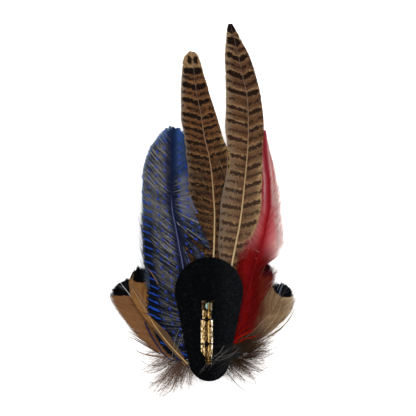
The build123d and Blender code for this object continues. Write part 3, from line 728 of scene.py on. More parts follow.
tailLeft = {
    **anyTail, "name": "tail_left", "node": "tail_feather_left", "seed": 11,
    "quill": (2.3, 13.2), "length": 157.0, "levels": (8.7, 0.6), "clumpSize": 9,
    "ragged": 0.012, "cup": 0.25, "wave": 0.14,
    "rows": [
        (0.000, 0.00, -0.08, 0.08, 0.00), (0.090, 0.00, -0.25, 0.12, 0.01),
        (0.195, 0.01, -0.66, 0.22, 0.04), (0.280, 0.03, -0.84, 0.22, 0.08),
        (0.375, 0.04, -0.84, 0.25, 0.14), (0.450, 0.01, -0.62, 0.33, 0.20),
        (0.530, -0.03, -0.62, 0.42, 0.28), (0.600, -0.10, -0.67, 0.44, 0.36),
        (0.670, -0.21, -0.71, 0.26, 0.45), (0.757, -0.30, -0.81, 0.09, 0.57),
        (0.853, -0.425, -0.80, -0.11, 0.73), (0.930, -0.48, -0.775, -0.26, 0.86),
        (0.960, -0.505, -0.755, -0.315, 0.92), (0.985, -0.525, -0.705, -0.375, 0.97),
        (1.000, -0.53, -0.615, -0.455, 1.00)],
    "aims": [(0.0, 62, 60), (0.35, 56, 50), (0.6, 46, 36), (0.8, 40, 34), (0.95, 34, 32),
             (1.0, 5, 5)],
    "leftBars": [166.0, 145.5, 135.3, 126, 116.7, 108.3, 100.2, 91.8, 84, 74.4, 66, 58.2, 50.4,
                 42, 34, 26, 18],
    "rightBars": [166.0, 145.5, 135.3, 126, 116.4, 110.4, 102.3, 94.2, 85.2, 75, 64.8, 55.2,
                  45.6, 36, 27, 18],
    "barSlope": [(0, 0.15, 0.15), (60, 0.22, 0.22), (105, 0.28, 0.28), (140, 0.30, 0.30),
                 (157, 0.1, 0.1)],
    "lifts": [(1, 78, 104, 0.55, 2.1)],
}
tailRight = {
    **anyTail, "name": "tail_right", "node": "tail_feather_right", "seed": 12,
    "quill": (8.9, 8.4), "length": 169.0, "levels": (9.7, 0.6), "clumpSize": 10,
    "ragged": 0.010, "cup": 0.2,
    "rows": [
        (0.000, 0.00, -0.08, 0.08, 0.00), (0.071, 0.10, -0.05, 0.30, 0.01),
        (0.153, 0.21, -0.11, 0.51, 0.03), (0.213, 0.29, -0.15, 0.61, 0.05),
        (0.284, 0.39, -0.12, 0.82, 0.08), (0.355, 0.46, -0.09, 0.93, 0.13),
        (0.426, 0.51, 0.00, 0.95, 0.18), (0.497, 0.56, 0.08, 0.96, 0.25),
        (0.568, 0.60, 0.08, 0.98, 0.32), (0.640, 0.61, 0.03, 1.00, 0.41),
        (0.728, 0.59, 0.05, 0.94, 0.53), (0.810, 0.475, 0.04, 0.81, 0.66),
        (0.885, 0.365, 0.02, 0.645, 0.78), (0.941, 0.27, 0.05, 0.44, 0.89),
        (0.977, 0.20, 0.07, 0.30, 0.955), (1.000, 0.16, 0.11, 0.21, 1.00)],
    "aims": [(0.0, 62, 58), (0.35, 58, 48), (0.6, 48, 40), (0.8, 42, 36), (0.95, 32, 30),
             (1.0, 5, 5)],
    "leftBars": [165.8, 157.8, 147.6, 136.8, 126, 115.8, 107.7, 97.5, 87.6, 77.4, 67.2, 57.3,
                 47.7, 38.4, 29, 20, 11],
    "rightBars": [165.8, 157.5, 147.3, 136.5, 125.7, 114.6, 104.4, 93.3, 81.6, 70.8, 59.1, 47.1,
                  35.1, 24, 13],
    "barSlope": [(0, 0.12, 0.18), (60, 0.22, 0.30), (110, 0.28, 0.40), (138, 0.36, 0.46),
                 (152, 0.5, 0.5), (169, 0.2, 0.2)],
    "splits": [(1, 159.6, 7.9, 161.3, 11.6, 0.7, 1.6)],
}
guineaPlace = {
    **anyFeather, "name": "guinea", "node": "guinea_feather", "slot": "blue_guinea", "seed": 13,
    "quill": (-8.6, 27.0), "length": 125.5, "width": 38.0, "levels": (10.7, 4.5),
    "shaft": (0.55, 0.2), "vaneFrom": -0.09, "steps": 14, "cover": 1.35, "edgeCover": 0.55,
    "fray": 0.9, "bow": 0.06, "clump": 0.03, "clumpSize": 8, "ragged": 0.018, "tipRagged": 4,
    "wave": 0.16, "soften": 21,
    "rows": [
        (-0.12, 0.03, -0.22, 0.06, 0.00), (-0.085, 0.03, -0.42, 0.06, 0.00),
        (-0.04, 0.02, -0.55, 0.06, 0.00), (0.000, 0.00, -0.62, 0.06, 0.00),
        (0.050, -0.02, -0.69, 0.06, 0.00), (0.105, -0.047, -0.735, 0.08, 0.01),
        (0.180, -0.095, -0.75, 0.12, 0.03),
        (0.278, -0.158, -0.75, 0.17, 0.07), (0.364, -0.205, -0.81, 0.19, 0.12),
        (0.430, -0.25, -0.82, 0.205, 0.17), (0.517, -0.30, -0.83, 0.11, 0.24),
        (0.612, -0.36, -0.82, 0.00, 0.33), (0.680, -0.374, -0.845, -0.06, 0.41),
        (0.746, -0.38, -0.837, -0.07, 0.51), (0.818, -0.38, -0.80, -0.08, 0.63),
        (0.890, -0.38, -0.727, -0.09, 0.77), (0.947, -0.374, -0.60, -0.12, 0.88),
        (0.980, -0.368, -0.50, -0.19, 0.96), (1.000, -0.365, -0.415, -0.31, 1.00)],
    "aims": [(-0.09, 125, 100), (0.0, 96, 100), (0.08, 66, 120), (0.18, 56, 150),
             (0.30, 52, 166), (0.50, 48, 160), (0.55, 46, 142), (0.59, 45, 125),
             (0.63, 44, 100), (0.67, 43, 78), (0.71, 42, 62), (0.78, 41, 50), (0.87, 38, 42),
             (0.96, 34, 36), (1.0, 4, 4)],
    "splits": [(1, 71.0, -11.0, 50.0, 7.4, 3.2, 3.0), (1, 60.0, -7.1, 44.0, 1.2, 3.3, 3.0),
               (1, 83.0, -5.6, 74.0, 0.6, 1.1, 1.6)],
    "lifts": [(1, 80, 134, 0.2, -2.6), (-1, -30, 44, 0.3, -1.3)],
}
redPlace = {
    **anyFeather, "name": "red", "node": "red_feather", "slot": "red_hackle", "seed": 14,
    "quill": (17.3, 26.4), "length": 123.0, "width": 26.0, "levels": (10.7, 0.6),
    "shaft": (0.55, 0.2), "vaneFrom": 0.0, "steps": 12, "cover": 1.25, "edgeCover": 0.3,
    "fray": 0.7, "bow": 0.07, "clump": 0.08, "clumpSize": 7, "ragged": 0.05, "wave": 0.16,
    "fringeHalf": 0.08, "fringeInset": 4.5,
    "rows": [
        (0.000, 0.00, -0.12, 0.25, 0.00), (0.073, 0.06, -0.12, 0.38, 0.00),
        (0.146, 0.14, -0.09, 0.46, 0.00), (0.244, 0.28, -0.02, 0.47, 0.00),
        (0.320, 0.37, -0.04, 0.45, 0.01), (0.375, 0.46, 0.04, 0.86, 0.02),
        (0.410, 0.51, 0.10, 1.01, 0.05), (0.440, 0.54, 0.16, 1.03, 0.10),
        (0.488, 0.60, 0.26, 1.035, 0.25),
        (0.550, 0.66, 0.36, 0.99, 0.45), (0.634, 0.73, 0.40, 0.96, 0.60),
        (0.732, 0.73, 0.43, 0.92, 0.72), (0.830, 0.68, 0.44, 0.84, 0.82),
        (0.912, 0.642, 0.485, 0.734, 0.91), (0.970, 0.62, 0.53, 0.67, 0.97),
        (1.000, 0.605, 0.565, 0.645, 1.00)],
    "aims": [(0.0, 60, 60), (0.25, 56, 56), (0.45, 46, 46), (0.65, 28, 28), (1.0, 8, 8)],
    "sparse": [(1, 2, 40, 0.7, 0.5), (1, 48, 92, 0.72, 0.42), (-1, 46, 66, 0.6, 0.1)],
}
leftOuter = {
    **anyBody, "name": "left_outer", "node": "body_feather_left_outer", "seed": 15,
    "quill": (-14.0, 45.0), "heading": -38.4, "length": 63.0, "levels": (8.3, 0.6),
    "vaneFrom": 0.08, "fray": 0.82, "clump": 0.06, "clumpSize": 9, "shaftTo": 0.86,
    "rows": [
        (0.00, 0.00, -0.06, 0.06, 0.00), (0.12, 0.00, -0.16, 0.14, 0.02),
        (0.25, 0.00, -0.29, 0.27, 0.08), (0.38, 0.00, -0.42, 0.36, 0.20),
        (0.57, 0.00, -0.51, 0.42, 0.42), (0.74, 0.00, -0.51, 0.44, 0.66),
        (0.88, 0.00, -0.48, 0.42, 0.86), (0.96, 0.00, -0.43, 0.35, 0.96),
        (1.00, 0.00, -0.29, 0.20, 1.00)],
    "aims": [(0.0, 40, 40), (0.4, 34, 34), (0.7, 28, 28), (0.93, 24, 24), (1.0, 4, 4)],
}
leftInner = {
    **anyBody, "name": "left_inner", "node": "body_feather_left_inner", "seed": 16,
    "quill": (-12.8, 43.8), "heading": -36.9, "length": 64.0, "levels": (11.05, 2.6),
    "shaft": (0.45, 0.2), "vaneFrom": 0.05, "spacing": 0.20, "cover": 1.5, "edgeCover": 0.8,
    "fray": 0.9, "clump": 0.06, "clumpSize": 9, "cup": 0.2, "wave": 0.1,
    "rows": [
        (0.00, 0.00, -0.06, 0.04, 0.00), (0.10, -0.03, -0.10, 0.04, 0.00),
        (0.23, -0.07, -0.14, 0.05, 0.01), (0.35, -0.085, -0.15, 0.07, 0.01),
        (0.435, -0.085, -0.155, 0.03, 0.03), (0.565, -0.065, -0.165, -0.03, 0.13),
        (0.63, -0.05, -0.17, 0.03, 0.34), (0.70, -0.03, -0.17, 0.19, 0.50),
        (0.80, -0.005, -0.14, 0.43, 0.70),
        (0.88, 0.03, -0.06, 0.60, 0.85), (0.95, 0.16, 0.06, 0.68, 0.94),
        (1.00, 0.34, 0.27, 0.48, 1.00)],
    "aims": [(0.0, 30, 30), (0.4, 22, 24), (0.54, 23, 36), (0.565, 24, 40), (0.61, 24, 41),
             (0.66, 24, 37), (0.74, 24, 32), (0.93, 20, 24), (1.0, 4, 4)],
}
rightOuter = {
    **anyBody, "name": "right_outer", "node": "body_feather_right_outer", "seed": 17,
    "quill": (10.0, 36.6), "heading": 39.6, "length": 53.8, "levels": (8.3, 0.6),
    "vaneFrom": 0.10, "fray": 0.8, "bow": 0.12, "clump": 0.10, "clumpSize": 8,
    "rows": [
        (0.00, 0.00, -0.06, 0.06, 0.00), (0.12, 0.06, -0.22, 0.20, 0.01),
        (0.24, 0.14, -0.28, 0.34, 0.04), (0.36, 0.19, -0.26, 0.47, 0.13),
        (0.48, 0.22, -0.19, 0.55, 0.33), (0.61, 0.24, -0.23, 0.60, 0.50),
        (0.76, 0.23, -0.26, 0.625, 0.71), (0.87, 0.20, -0.25, 0.58, 0.86),
        (0.95, 0.17, -0.16, 0.44, 0.95), (1.00, 0.14, 0.03, 0.27, 1.00)],
    "aims": [(0.0, 34, 34), (0.4, 28, 26), (0.7, 26, 24), (0.93, 22, 20), (1.0, 4, 4)],
}
rightInner = {
    **anyBody, "name": "right_inner", "node": "body_feather_right_inner", "seed": 18,
    "quill": (17.3, 23.4), "heading": 23.0, "length": 43.0, "width": 16.0,
    "levels": (9.5, 3.6), "vaneFrom": 0.05, "steps": 10, "fray": 0.75, "clump": 0.15,
    "clumpSize": 7, "ragged": 0.04, "cup": 0.2, "wave": 0.1,
    "rows": [
        (0.00, 0.00, -0.07, 0.07, 0.00), (0.20, 0.00, -0.25, 0.25, 0.06),
        (0.40, 0.00, -0.36, 0.38, 0.22), (0.60, 0.00, -0.40, 0.46, 0.46),
        (0.80, 0.00, -0.41, 0.52, 0.74), (0.92, 0.00, -0.38, 0.48, 0.91),
        (0.97, 0.00, -0.28, 0.34, 0.97), (1.00, 0.00, -0.16, 0.18, 1.00)],
    "aims": [(0.0, 40, 40), (0.5, 30, 30), (0.9, 20, 20), (1.0, 4, 4)],
}

# Looks: sizes, widths and zones are in millimetres, but a tail's barFrom, barTo, wanderZone,
# topZone and endZone are shares of its length, and stops and bar widths are shares too
tailPattern = {
    "fineSize": 1.1, "broadSize": 6.0, "swellSize": 3.6, "patchSize": 2.4, "mottleSize": 0.8,
    "fleckSize": 0.9, "streakSize": (0.9, 6.0), "haloSize": (0.6, 3.0), "wanderZone": (0.35, 0.8),
    "barbShake": 0.06, "barTo": 0.97, "topZone": (0.90, 0.94), "swell": 0.20, "thinsFrom": 5.0,
    "barEdge": (-0.04, 0.055), "endWidth": (0.4, 2.0), "endZone": (0.94, 0.965), "rimEase": 8.0,
    "streakShare": 0.30, "deepShare": 0.3,
}
tailLeftLook = {
    **tailPattern, "length": tailLeft["length"], "barFrom": 0.62, "barLow": 0.11,
    "barHigh": 0.21, "thinFrom": 0.37, "topBar": 0.2, "wanderLow": 0.95, "wanderHigh": 0.46,
    "patchFrom": 0.36, "thinShare": 0.9, "warm": "#4f2714", "warmWidth": 5.5,
    "warmShare": 0.45, "mottle": "#20140e", "mottleShare": 0.55, "halo": "#946a42",
    "haloTo": 0.16, "streak": "#7c5638", "deep": "#281910", "paleShare": 0.4,
    "pale": [(0.0, "#5b5045"), (0.5, "#6a5f54"), (0.75, "#9a8d80"), (1.0, "#b9a992")],
    "rimZone": (66.0, 112.0), "rim": "#a98a5e", "rimWidth": 5.0, "outerShare": 0.4,
    "outerWidth": 7.0, "eyes": (152.0, 1.85, 2.9, 1.5), "eyeEdge": (1.3, 1.9), "eye": "#241710",
    "tip": [(0.0, "#b59368"), (1.0, "#50381f")], "tipSize": (0.4, 3.0), "tipRagged": 1.2,
    "tipZone": (4.4, 3.2),
    "ground": [(0.0, "#2e241c"), (0.4, "#2b2119"), (0.58, "#3e2d1e"), (0.72, "#5d3b24"),
               (0.9, "#6f4d32"), (1.0, "#94734e")],
    "bars": [(0.0, "#241a14"), (0.5, "#211711"), (1.0, "#180f0b")],
}
tailRightLook = {
    **tailPattern, "length": tailRight["length"], "barFrom": 0.70, "barLow": 0.115,
    "barHigh": 0.175, "thinFrom": 0.385, "topBar": 0.17, "wanderLow": 0.46, "wanderHigh": 0.32,
    "patchFrom": 0.37, "thinShare": 0.85, "warm": "#45281a", "warmWidth": 5.0,
    "warmShare": 0.6, "mottle": "#3c281a", "mottleShare": 0.35, "halo": "#aa8660",
    "haloTo": 0.15, "streak": "#836146", "deep": "#3e2a1b", "paleShare": 0.5,
    "pale": [(0.0, "#615447"), (0.4, "#74675a"), (0.55, "#94806a"), (1.0, "#a08a6c")],
    "rimZone": (14.0, 90.0), "rim": "#b3936a", "rimWidth": 7.5, "outerShare": 0.56,
    "outerWidth": 10.0,
    "ground": [(0.0, "#6d5944"), (0.35, "#755c44"), (0.6, "#60432b"), (0.85, "#472d1d"),
               (1.0, "#745236")],
    "bars": [(0.0, "#43342a"), (0.35, "#3c2c21"), (0.6, "#32221a"), (0.8, "#22150f"),
             (1.0, "#1a100c")],
}
guineaLook = {
    "barbs": [(0.30, "#0c111e"), (0.44, "#272c38"), (0.56, "#4e5057"), (0.70, "#8f8b82")],
    "tips": "#34578c", "midGrey": "#6c6d70", "dusk": "#0a0e1a", "mist": "#6a6c7c",
    "smooth": "#1f3968", "navy": "#0a1430", "edge": "#060b17", "cobalt": "#2b40a8",
    "stripeBlue": "#1d45a2", "rim": "#5d7188", "grainSize": 1.0, "streakSize": (0.5, 14.0),
    "columns": 4.5, "pitch": 4.8, "scatter": 0.28, "spotEdge": (0.17, 0.25),
    "stripeShare": 0.18, "stripeLean": 0.5, "edgeWidth": (6.0, 13.0), "lowZone": (52.0, 98.0),
    "duskZone": (24.0, 62.0), "mistFrom": (66.0, 76.0), "mistTo": (92.0, 104.0),
    "greyFrom": (52.0, 70.0), "greyTo": (96.0, 112.0), "smoothZone": (90.0, 106.0),
    "tipZone": (113.0, 124.0), "veilZone": (40.0, 96.0),
}
redLook = {
    "span": 12.0, "highZone": (66.0, 92.0), "deepLean": 15.0, "deepZone": (52.0, 70.0),
    "creamFrom": (40.0, 60.0), "creamTo": (84.0, 100.0), "tipSize": (0.8, 14.0),
    "streakSize": (0.9, 14.0),
    "high": [(0.0, "#c0666c"), (0.34, "#a63844"), (0.38, "#cf9a9c"), (0.42, "#b04450"),
             (0.47, "#8e1c2a"), (0.52, "#aa3644"), (0.57, "#dcb2ac"), (0.62, "#c87c7c"),
             (0.66, "#e2c6be"), (0.74, "#dfbdb5"), (0.80, "#cc9490")],
    "middle": [(0.1, "#d0a49b"), (0.36, "#b65658"), (0.47, "#9a1820"), (0.54, "#a02c32"),
               (0.64, "#bc5c62"), (0.78, "#cd8a88"), (0.90, "#e2beb8"), (0.97, "#ecdad4")],
    "deep": [(0.2, "#780c0e"), (0.45, "#560203"), (0.55, "#680406"), (0.7, "#4a0405"),
             (0.9, "#6e1410")],
    "streak": "#7a1418", "cream": "#e6d8d0",
}
bodyPattern = {
    "grainSize": 1.6, "streakSize": (0.7, 12.0), "downEase": 14.0, "tipRagged": 0.9,
    "tipEase": 0.25, "paleWidth": (0.5, 9.0), "paleSize": (0.9, 16.0),
    "black": [(0.0, "#020202"), (0.86, "#060607"), (0.98, "#5c5e66")],
}
leftOuterLook = {
    **bodyPattern, "downTo": 16.0, "tip": (-50.0, 48.4, 100.0),
    "tan": [(0.1, "#5f3d26"), (0.5, "#7c5537"), (0.9, "#94693f")], "down": "#4a382c",
}
leftInnerLook = {
    **bodyPattern, "downTo": 38.0, "tip": (-36.6, -34.8, 9.0),
    "tan": [(0.1, "#5c3d21"), (0.5, "#805832"), (0.9, "#a07848")], "down": "#4a3d30",
}
rightOuterLook = {
    **bodyPattern, "downTo": 31.0, "tip": (50.7, -44.4, 8.2),
    "tan": [(0.1, "#54402e"), (0.5, "#7d6247"), (0.9, "#b09674")], "down": "#3c110b",
    "edgePale": "#c8b496", "stain": "#4e130d", "stainSpan": (-5.5, 4.0), "stainTo": (30.0, 46.0),
    "black": [(0.0, "#030405"), (0.80, "#0a0d18"), (0.95, "#7a7f8a")],
}
rightInnerLook = {
    **bodyPattern, "downTo": 10.0, "tip": (38.4, -31.2, 9.0),
    "tan": [(0.1, "#46100b"), (0.5, "#5c1e14"), (0.9, "#743222")], "down": "#420b09",
    "black": [(0.0, "#160507"), (0.6, "#300a10"), (0.95, "#7a2430")],
}
creamShaft = [(0.0, "#c8b286"), (0.35, "#ae9062"), (0.6, "#7e5e3c"), (0.85, "#573a27"),
              (1.0, "#48301f")]
navyShaft = [(0.0, "#33365c"), (0.35, "#50547c"), (0.6, "#4a4e74"), (0.68, "#0d1433"),
             (1.0, "#0c1630")]
redShaft = [(0.0, "#560406"), (0.4, "#780a12"), (0.75, "#780e1c"), (1.0, "#94404a")]
tanShaft = [(0.0, "#b89560"), (0.5, "#b08c5c"), (1.0, "#7a5a3c")]
greyShaft = [(0.0, "#7c5c40"), (0.5, "#a88c68"), (1.0, "#beb0a2")]
dullShaft = [(0.0, "#a08460"), (0.4, "#94775a"), (0.78, "#6e5640"), (0.9, "#241d1a")]
wineShaft = [(0.0, "#5e1a14"), (1.0, "#6e3426")]

for feather, material, shaftStops, gloss in (
        (tailLeft, pheasantTail("pheasant_tail_mottled", tailLeftLook), creamShaft, 0.35),
        (tailRight, pheasantTail("pheasant_tail_barred", tailRightLook), creamShaft, 0.35),
        (guineaPlace, dyedGuinea("dyed_guinea_barbs", guineaLook), navyShaft, 0.05),
        (redPlace, dyedHackle("dyed_hackle_barbs", redLook), redShaft, 0.03),
        (leftOuter, bodyFeather("body_feather_left_outer", leftOuterLook), greyShaft, 0.12),
        (leftInner, bodyFeather("body_feather_left_inner", leftInnerLook), tanShaft, 0.12),
        (rightOuter, bodyFeather("body_feather_right_outer", rightOuterLook), dullShaft, 0.12),
        (rightInner, bodyFeather("body_feather_right_inner", rightInnerLook), wineShaft, 0.12)):
    horn = quillHorn("quill_horn_" + feather["name"], shaftStops, feather["length"], gloss)
    makeFeather(feather, material, horn)


# Down at the foot: strands with short barbules, in locks
def strandPath(starts, headings, lengths, curl, wobble, steps, rng):
    t = np.linspace(0, 1, steps)
    turn = headings[:, None] + curl[:, None] * t[None] ** 1.4
    turn = turn + wobble[:, None] * np.sin(t[None] * rng.uniform(4, 9, (len(starts), 1))
                                           + rng.uniform(0, 6, (len(starts), 1)))
    step = lengths[:, None] / (steps - 1)
    moves = np.stack([np.cos(turn), np.sin(turn)], axis=-1) * step[..., None]
    flat = starts[:, None] + np.cumsum(moves, axis=1) - moves[:, :1]
    return flat, turn


def makeDown(tuft, material):
    # each lock is a few plumes, each plume a bundle of strands that part toward the tip
    rng = np.random.default_rng(tuft["seed"])
    starts, headings, lengths, curls, tops, shades = [], [], [], [], [], []
    for heading, reach, fullness in tuft["locks"]:
        reach = tuft["reach"] * reach
        for _ in range(max(1, round(tuft["plumes"] * fullness))):
            count = tuft["strands"]
            lead = np.radians(heading) + rng.normal(0, tuft["astray"])
            out = rng.uniform(0.0, tuft["startTo"]) * reach
            shift = rng.normal(0, tuft["lockHalf"])
            side = shift + rng.normal(0, tuft["spread"], count)
            headings.append(lead + rng.normal(0, tuft["astray"], count))
            starts.append(np.stack([tuft["centre"][0] + np.cos(lead) * out - np.sin(lead) * side,
                                    tuft["centre"][1] + np.sin(lead) * out + np.cos(lead) * side],
                                   axis=-1))
            size = reach * rng.uniform(*tuft["plumeShare"]) - out
            lengths.append(size * (0.48 + 0.62 * rng.random(count) ** 1.5))
            curls.append(rng.normal(0, tuft["curl"]) + rng.normal(0, 0.10, count))
            tops.append(rng.uniform(*tuft["high"]) + rng.normal(0, 0.25, count))
            shades.append(np.clip(rng.random() * 0.7 + 0.3 * rng.random(count), 0, 1))
    starts, headings, lengths, curls, tops, shades = [
        np.concatenate(values) for values in (starts, headings, lengths, curls, tops, shades)]
    lengths = np.maximum(lengths, tuft["shortest"])
    count, steps = len(starts), tuft["steps"]
    flat, turn = strandPath(starts, headings, lengths, curls, rng.uniform(0.02, 0.09, count),
                            steps, rng)
    t = np.linspace(0, 1, steps)
    high = np.maximum(tops, tuft["lowestRoot"])[:, None]
    low = rng.uniform(*tuft["low"], count)[:, None]
    level = high + (low - high) * t[None] ** 1.2
    lines = np.concatenate([flat, level[..., None]], axis=-1)
    halves = tuft["strandHalf"] * (1 - 0.7 * t)[None] * rng.uniform(0.7, 1.2, count)[:, None]
    points, faces = strandShape(lines, halves, halves)
    points = points.reshape(-1, 3)
    # barbules on both sides of each strand, swept forward
    per = (lengths / tuft["barbuleSpacing"]).astype(int)
    which = np.repeat(np.arange(count), per * 2)
    place = 0.94 * rng.random(len(which)) ** 1.25
    station = place * (steps - 1)
    base = np.floor(station).astype(int)
    part = (station - base)[:, None]
    origin = lines[which, base] * (1 - part) + lines[which, base + 1] * part
    sideOf = np.where(rng.random(len(which)) < 0.5, -1, 1)
    aim = turn[which, base] + sideOf * rng.uniform(*tuft["sweep"], len(which))
    size = rng.uniform(*tuft["barbule"], len(which)) * (1.1 - 0.5 * place)
    end = origin + np.stack([np.cos(aim) * size, np.sin(aim) * size,
                             rng.normal(0.0, 0.4, len(which))], axis=-1)
    end[:, 2] = np.maximum(end[:, 2], tuft["lowestTip"])
    spikes, spikeFaces = spikeShape(origin, end, tuft["barbuleHalf"])
    faces = faces + (spikeFaces + len(points)).tolist()
    strandTint = tripled(shades[:, None], halves.shape).ravel()
    barbuleTint = np.repeat(shades[which] * 0.7 + 0.3 * rng.random(len(which)), 4)
    strandReach = tripled(t[None], halves.shape).ravel()
    newPiece(tuft["name"], np.concatenate([points, spikes]), faces, material,
             {"tint": np.concatenate([strandTint, barbuleTint]),
              "reach": np.concatenate([strandReach, np.repeat(place, 4)])}, tuft["nodes"])
    print("down made:", tuft["name"], count, "strands", len(which), "barbules")


# Locks: heading from +X toward +Y, reach as a share of the longest, fullness. High and low:
# heights of root and tip above the table.
anyDown = {
    "nodes": (), "strandHalf": 0.045, "barbuleHalf": 0.026, "spread": 0.5, "astray": 0.11,
    "startTo": 0.3, "lockHalf": 2.2, "plumeShare": (0.74, 1.02), "curl": 0.28, "shortest": 4,
    "steps": 12, "lowestRoot": 1.6, "lowestTip": 0.45, "sweep": (0.12, 0.5),
}
downLeft = {
    **anyDown, "name": "down_left", "nodes": ("down_fluff_left",), "seed": 21,
    "centre": (-7.9, -86.0), "reach": 40.5, "plumes": 13.0, "strands": 4, "high": (2.2, 8.5),
    "low": (0.8, 2.4), "barbuleSpacing": 0.75, "barbule": (0.6, 2.4), "spread": 1.3,
    "locks": [(176, 0.86, 0.5), (188, 0.94, 0.8), (200, 0.96, 0.9), (212, 0.98, 1.0),
              (224, 1.02, 1.1), (236, 1.04, 1.0), (248, 0.86, 1.1), (258, 0.70, 1.0),
              (268, 0.60, 1.1), (282, 0.54, 1.0)],
}
downRight = {
    **anyDown, "name": "down_right", "nodes": ("down_fluff_right",), "seed": 22,
    "centre": (12.7, -86.0), "reach": 36.5, "plumes": 11.0, "strands": 5, "high": (2.6, 11.8),
    "low": (0.8, 3.4), "barbuleSpacing": 0.72, "barbule": (0.7, 2.8), "spread": 1.2,
    "locks": [(34, 0.86, 1.0), (20, 0.96, 1.2), (6, 1.00, 1.3),
              (-8, 0.88, 1.2), (-23, 0.86, 1.1), (-38, 0.86, 1.0), (-52, 0.88, 0.9),
              (-68, 0.66, 0.8), (-86, 0.5, 0.6)],
}
downOverFeathers = {
    **anyDown, "name": "down_over_feathers", "seed": 24, "centre": (22.0, -86.5),
    "reach": 25.0, "plumes": 5.0, "strands": 5, "strandHalf": 0.05, "high": (11.2, 12.4),
    "low": (7.6, 10.2), "barbuleSpacing": 0.42, "barbule": (0.9, 3.2), "barbuleHalf": 0.03,
    "locks": [(4, 0.92, 0.8), (18, 0.96, 1.0), (30, 1.0, 1.2), (40, 1.08, 1.4),
              (50, 1.05, 1.3), (61, 0.85, 0.7)],
}
downOverFelt = {
    **anyDown, "name": "down_over_felt", "seed": 23, "centre": (24.5, -81.0),
    "reach": 27.0, "plumes": 2.2, "strands": 4, "strandHalf": 0.04, "high": (14.3, 15.2),
    "low": (14.3, 15.2), "barbuleSpacing": 0.5, "barbule": (0.8, 2.6),
    "locks": [(196, 0.9, 1.0), (206, 1.0, 1.2), (216, 1.02, 1.2), (226, 0.95, 1.0)],
}
brownDown = looseFibre("down_barbs_right", [(0.0, "#26170f"), (0.4, "#463224"),
                                            (0.75, "#7a604d"), (1.0, "#b39c88")], tipShare=0.65)
makeDown(downLeft, looseFibre("down_barbs_left", [(0.0, "#4c362b"), (0.35, "#6e5546"),
                                                  (0.7, "#957d6c"), (1.0, "#bba898")],
                               tipShare=0.5))
makeDown(downRight, brownDown)
makeDown(downOverFeathers, brownDown)
makeDown(downOverFelt, looseFibre("down_barbs_grey", [(0.0, "#1a1a1a"), (0.6, "#353434"),
                                                      (1.0, "#5c5a58")]))


# Loose barb ends that stand off the edges of the vanes
def makeFringe(name, feather, runs, material):
    # runs: side, from and to as shares of the length, count, lengths, angle, rise of the level
    rng = np.random.default_rng(feather["seed"] + 60 + len(runs))
    root, ahead, right = placeOf(feather)
    lines, tints, steps = [], [], 7
    for side, low, high, count, sizes, angle, rise in runs:
        share = np.sort(rng.uniform(low, high, count))
        inset = side * rng.uniform(0.2, feather["fringeInset"], count)
        start = root + (share * feather["length"])[:, None] * ahead
        start = start + (edgeOf(feather, share, side) - inset)[:, None] * right
        slant = np.radians(angle + rng.normal(0, 7, count)) * side
        forward = math.atan2(ahead[1], ahead[0]) - slant
        size = rng.uniform(*sizes, count) * rng.uniform(0.5, 1.0, count)
        flat, _ = strandPath(start, forward, size, rng.normal(0, 0.25, count),
                             rng.uniform(0, 0.05, count), steps, rng)
        t = np.linspace(0, 1, steps)
        level = levelAt(feather, share)[:, None] + rise + rng.normal(0, 0.15, (count, 1))
        level = np.maximum(level + (rng.normal(0, 0.3, (count, 1))) * t[None], 0.45)
        lines.append(np.concatenate([flat, level[..., None]], axis=-1))
        tints.append(rng.random(count))
    lines, tints = np.concatenate(lines), np.concatenate(tints)
    t = np.linspace(0, 1, steps)
    halves = feather["fringeHalf"] * (1 - 0.75 * t)[None] + 0 * lines[..., 0]
    newStrands(name, lines, halves, tints, material)


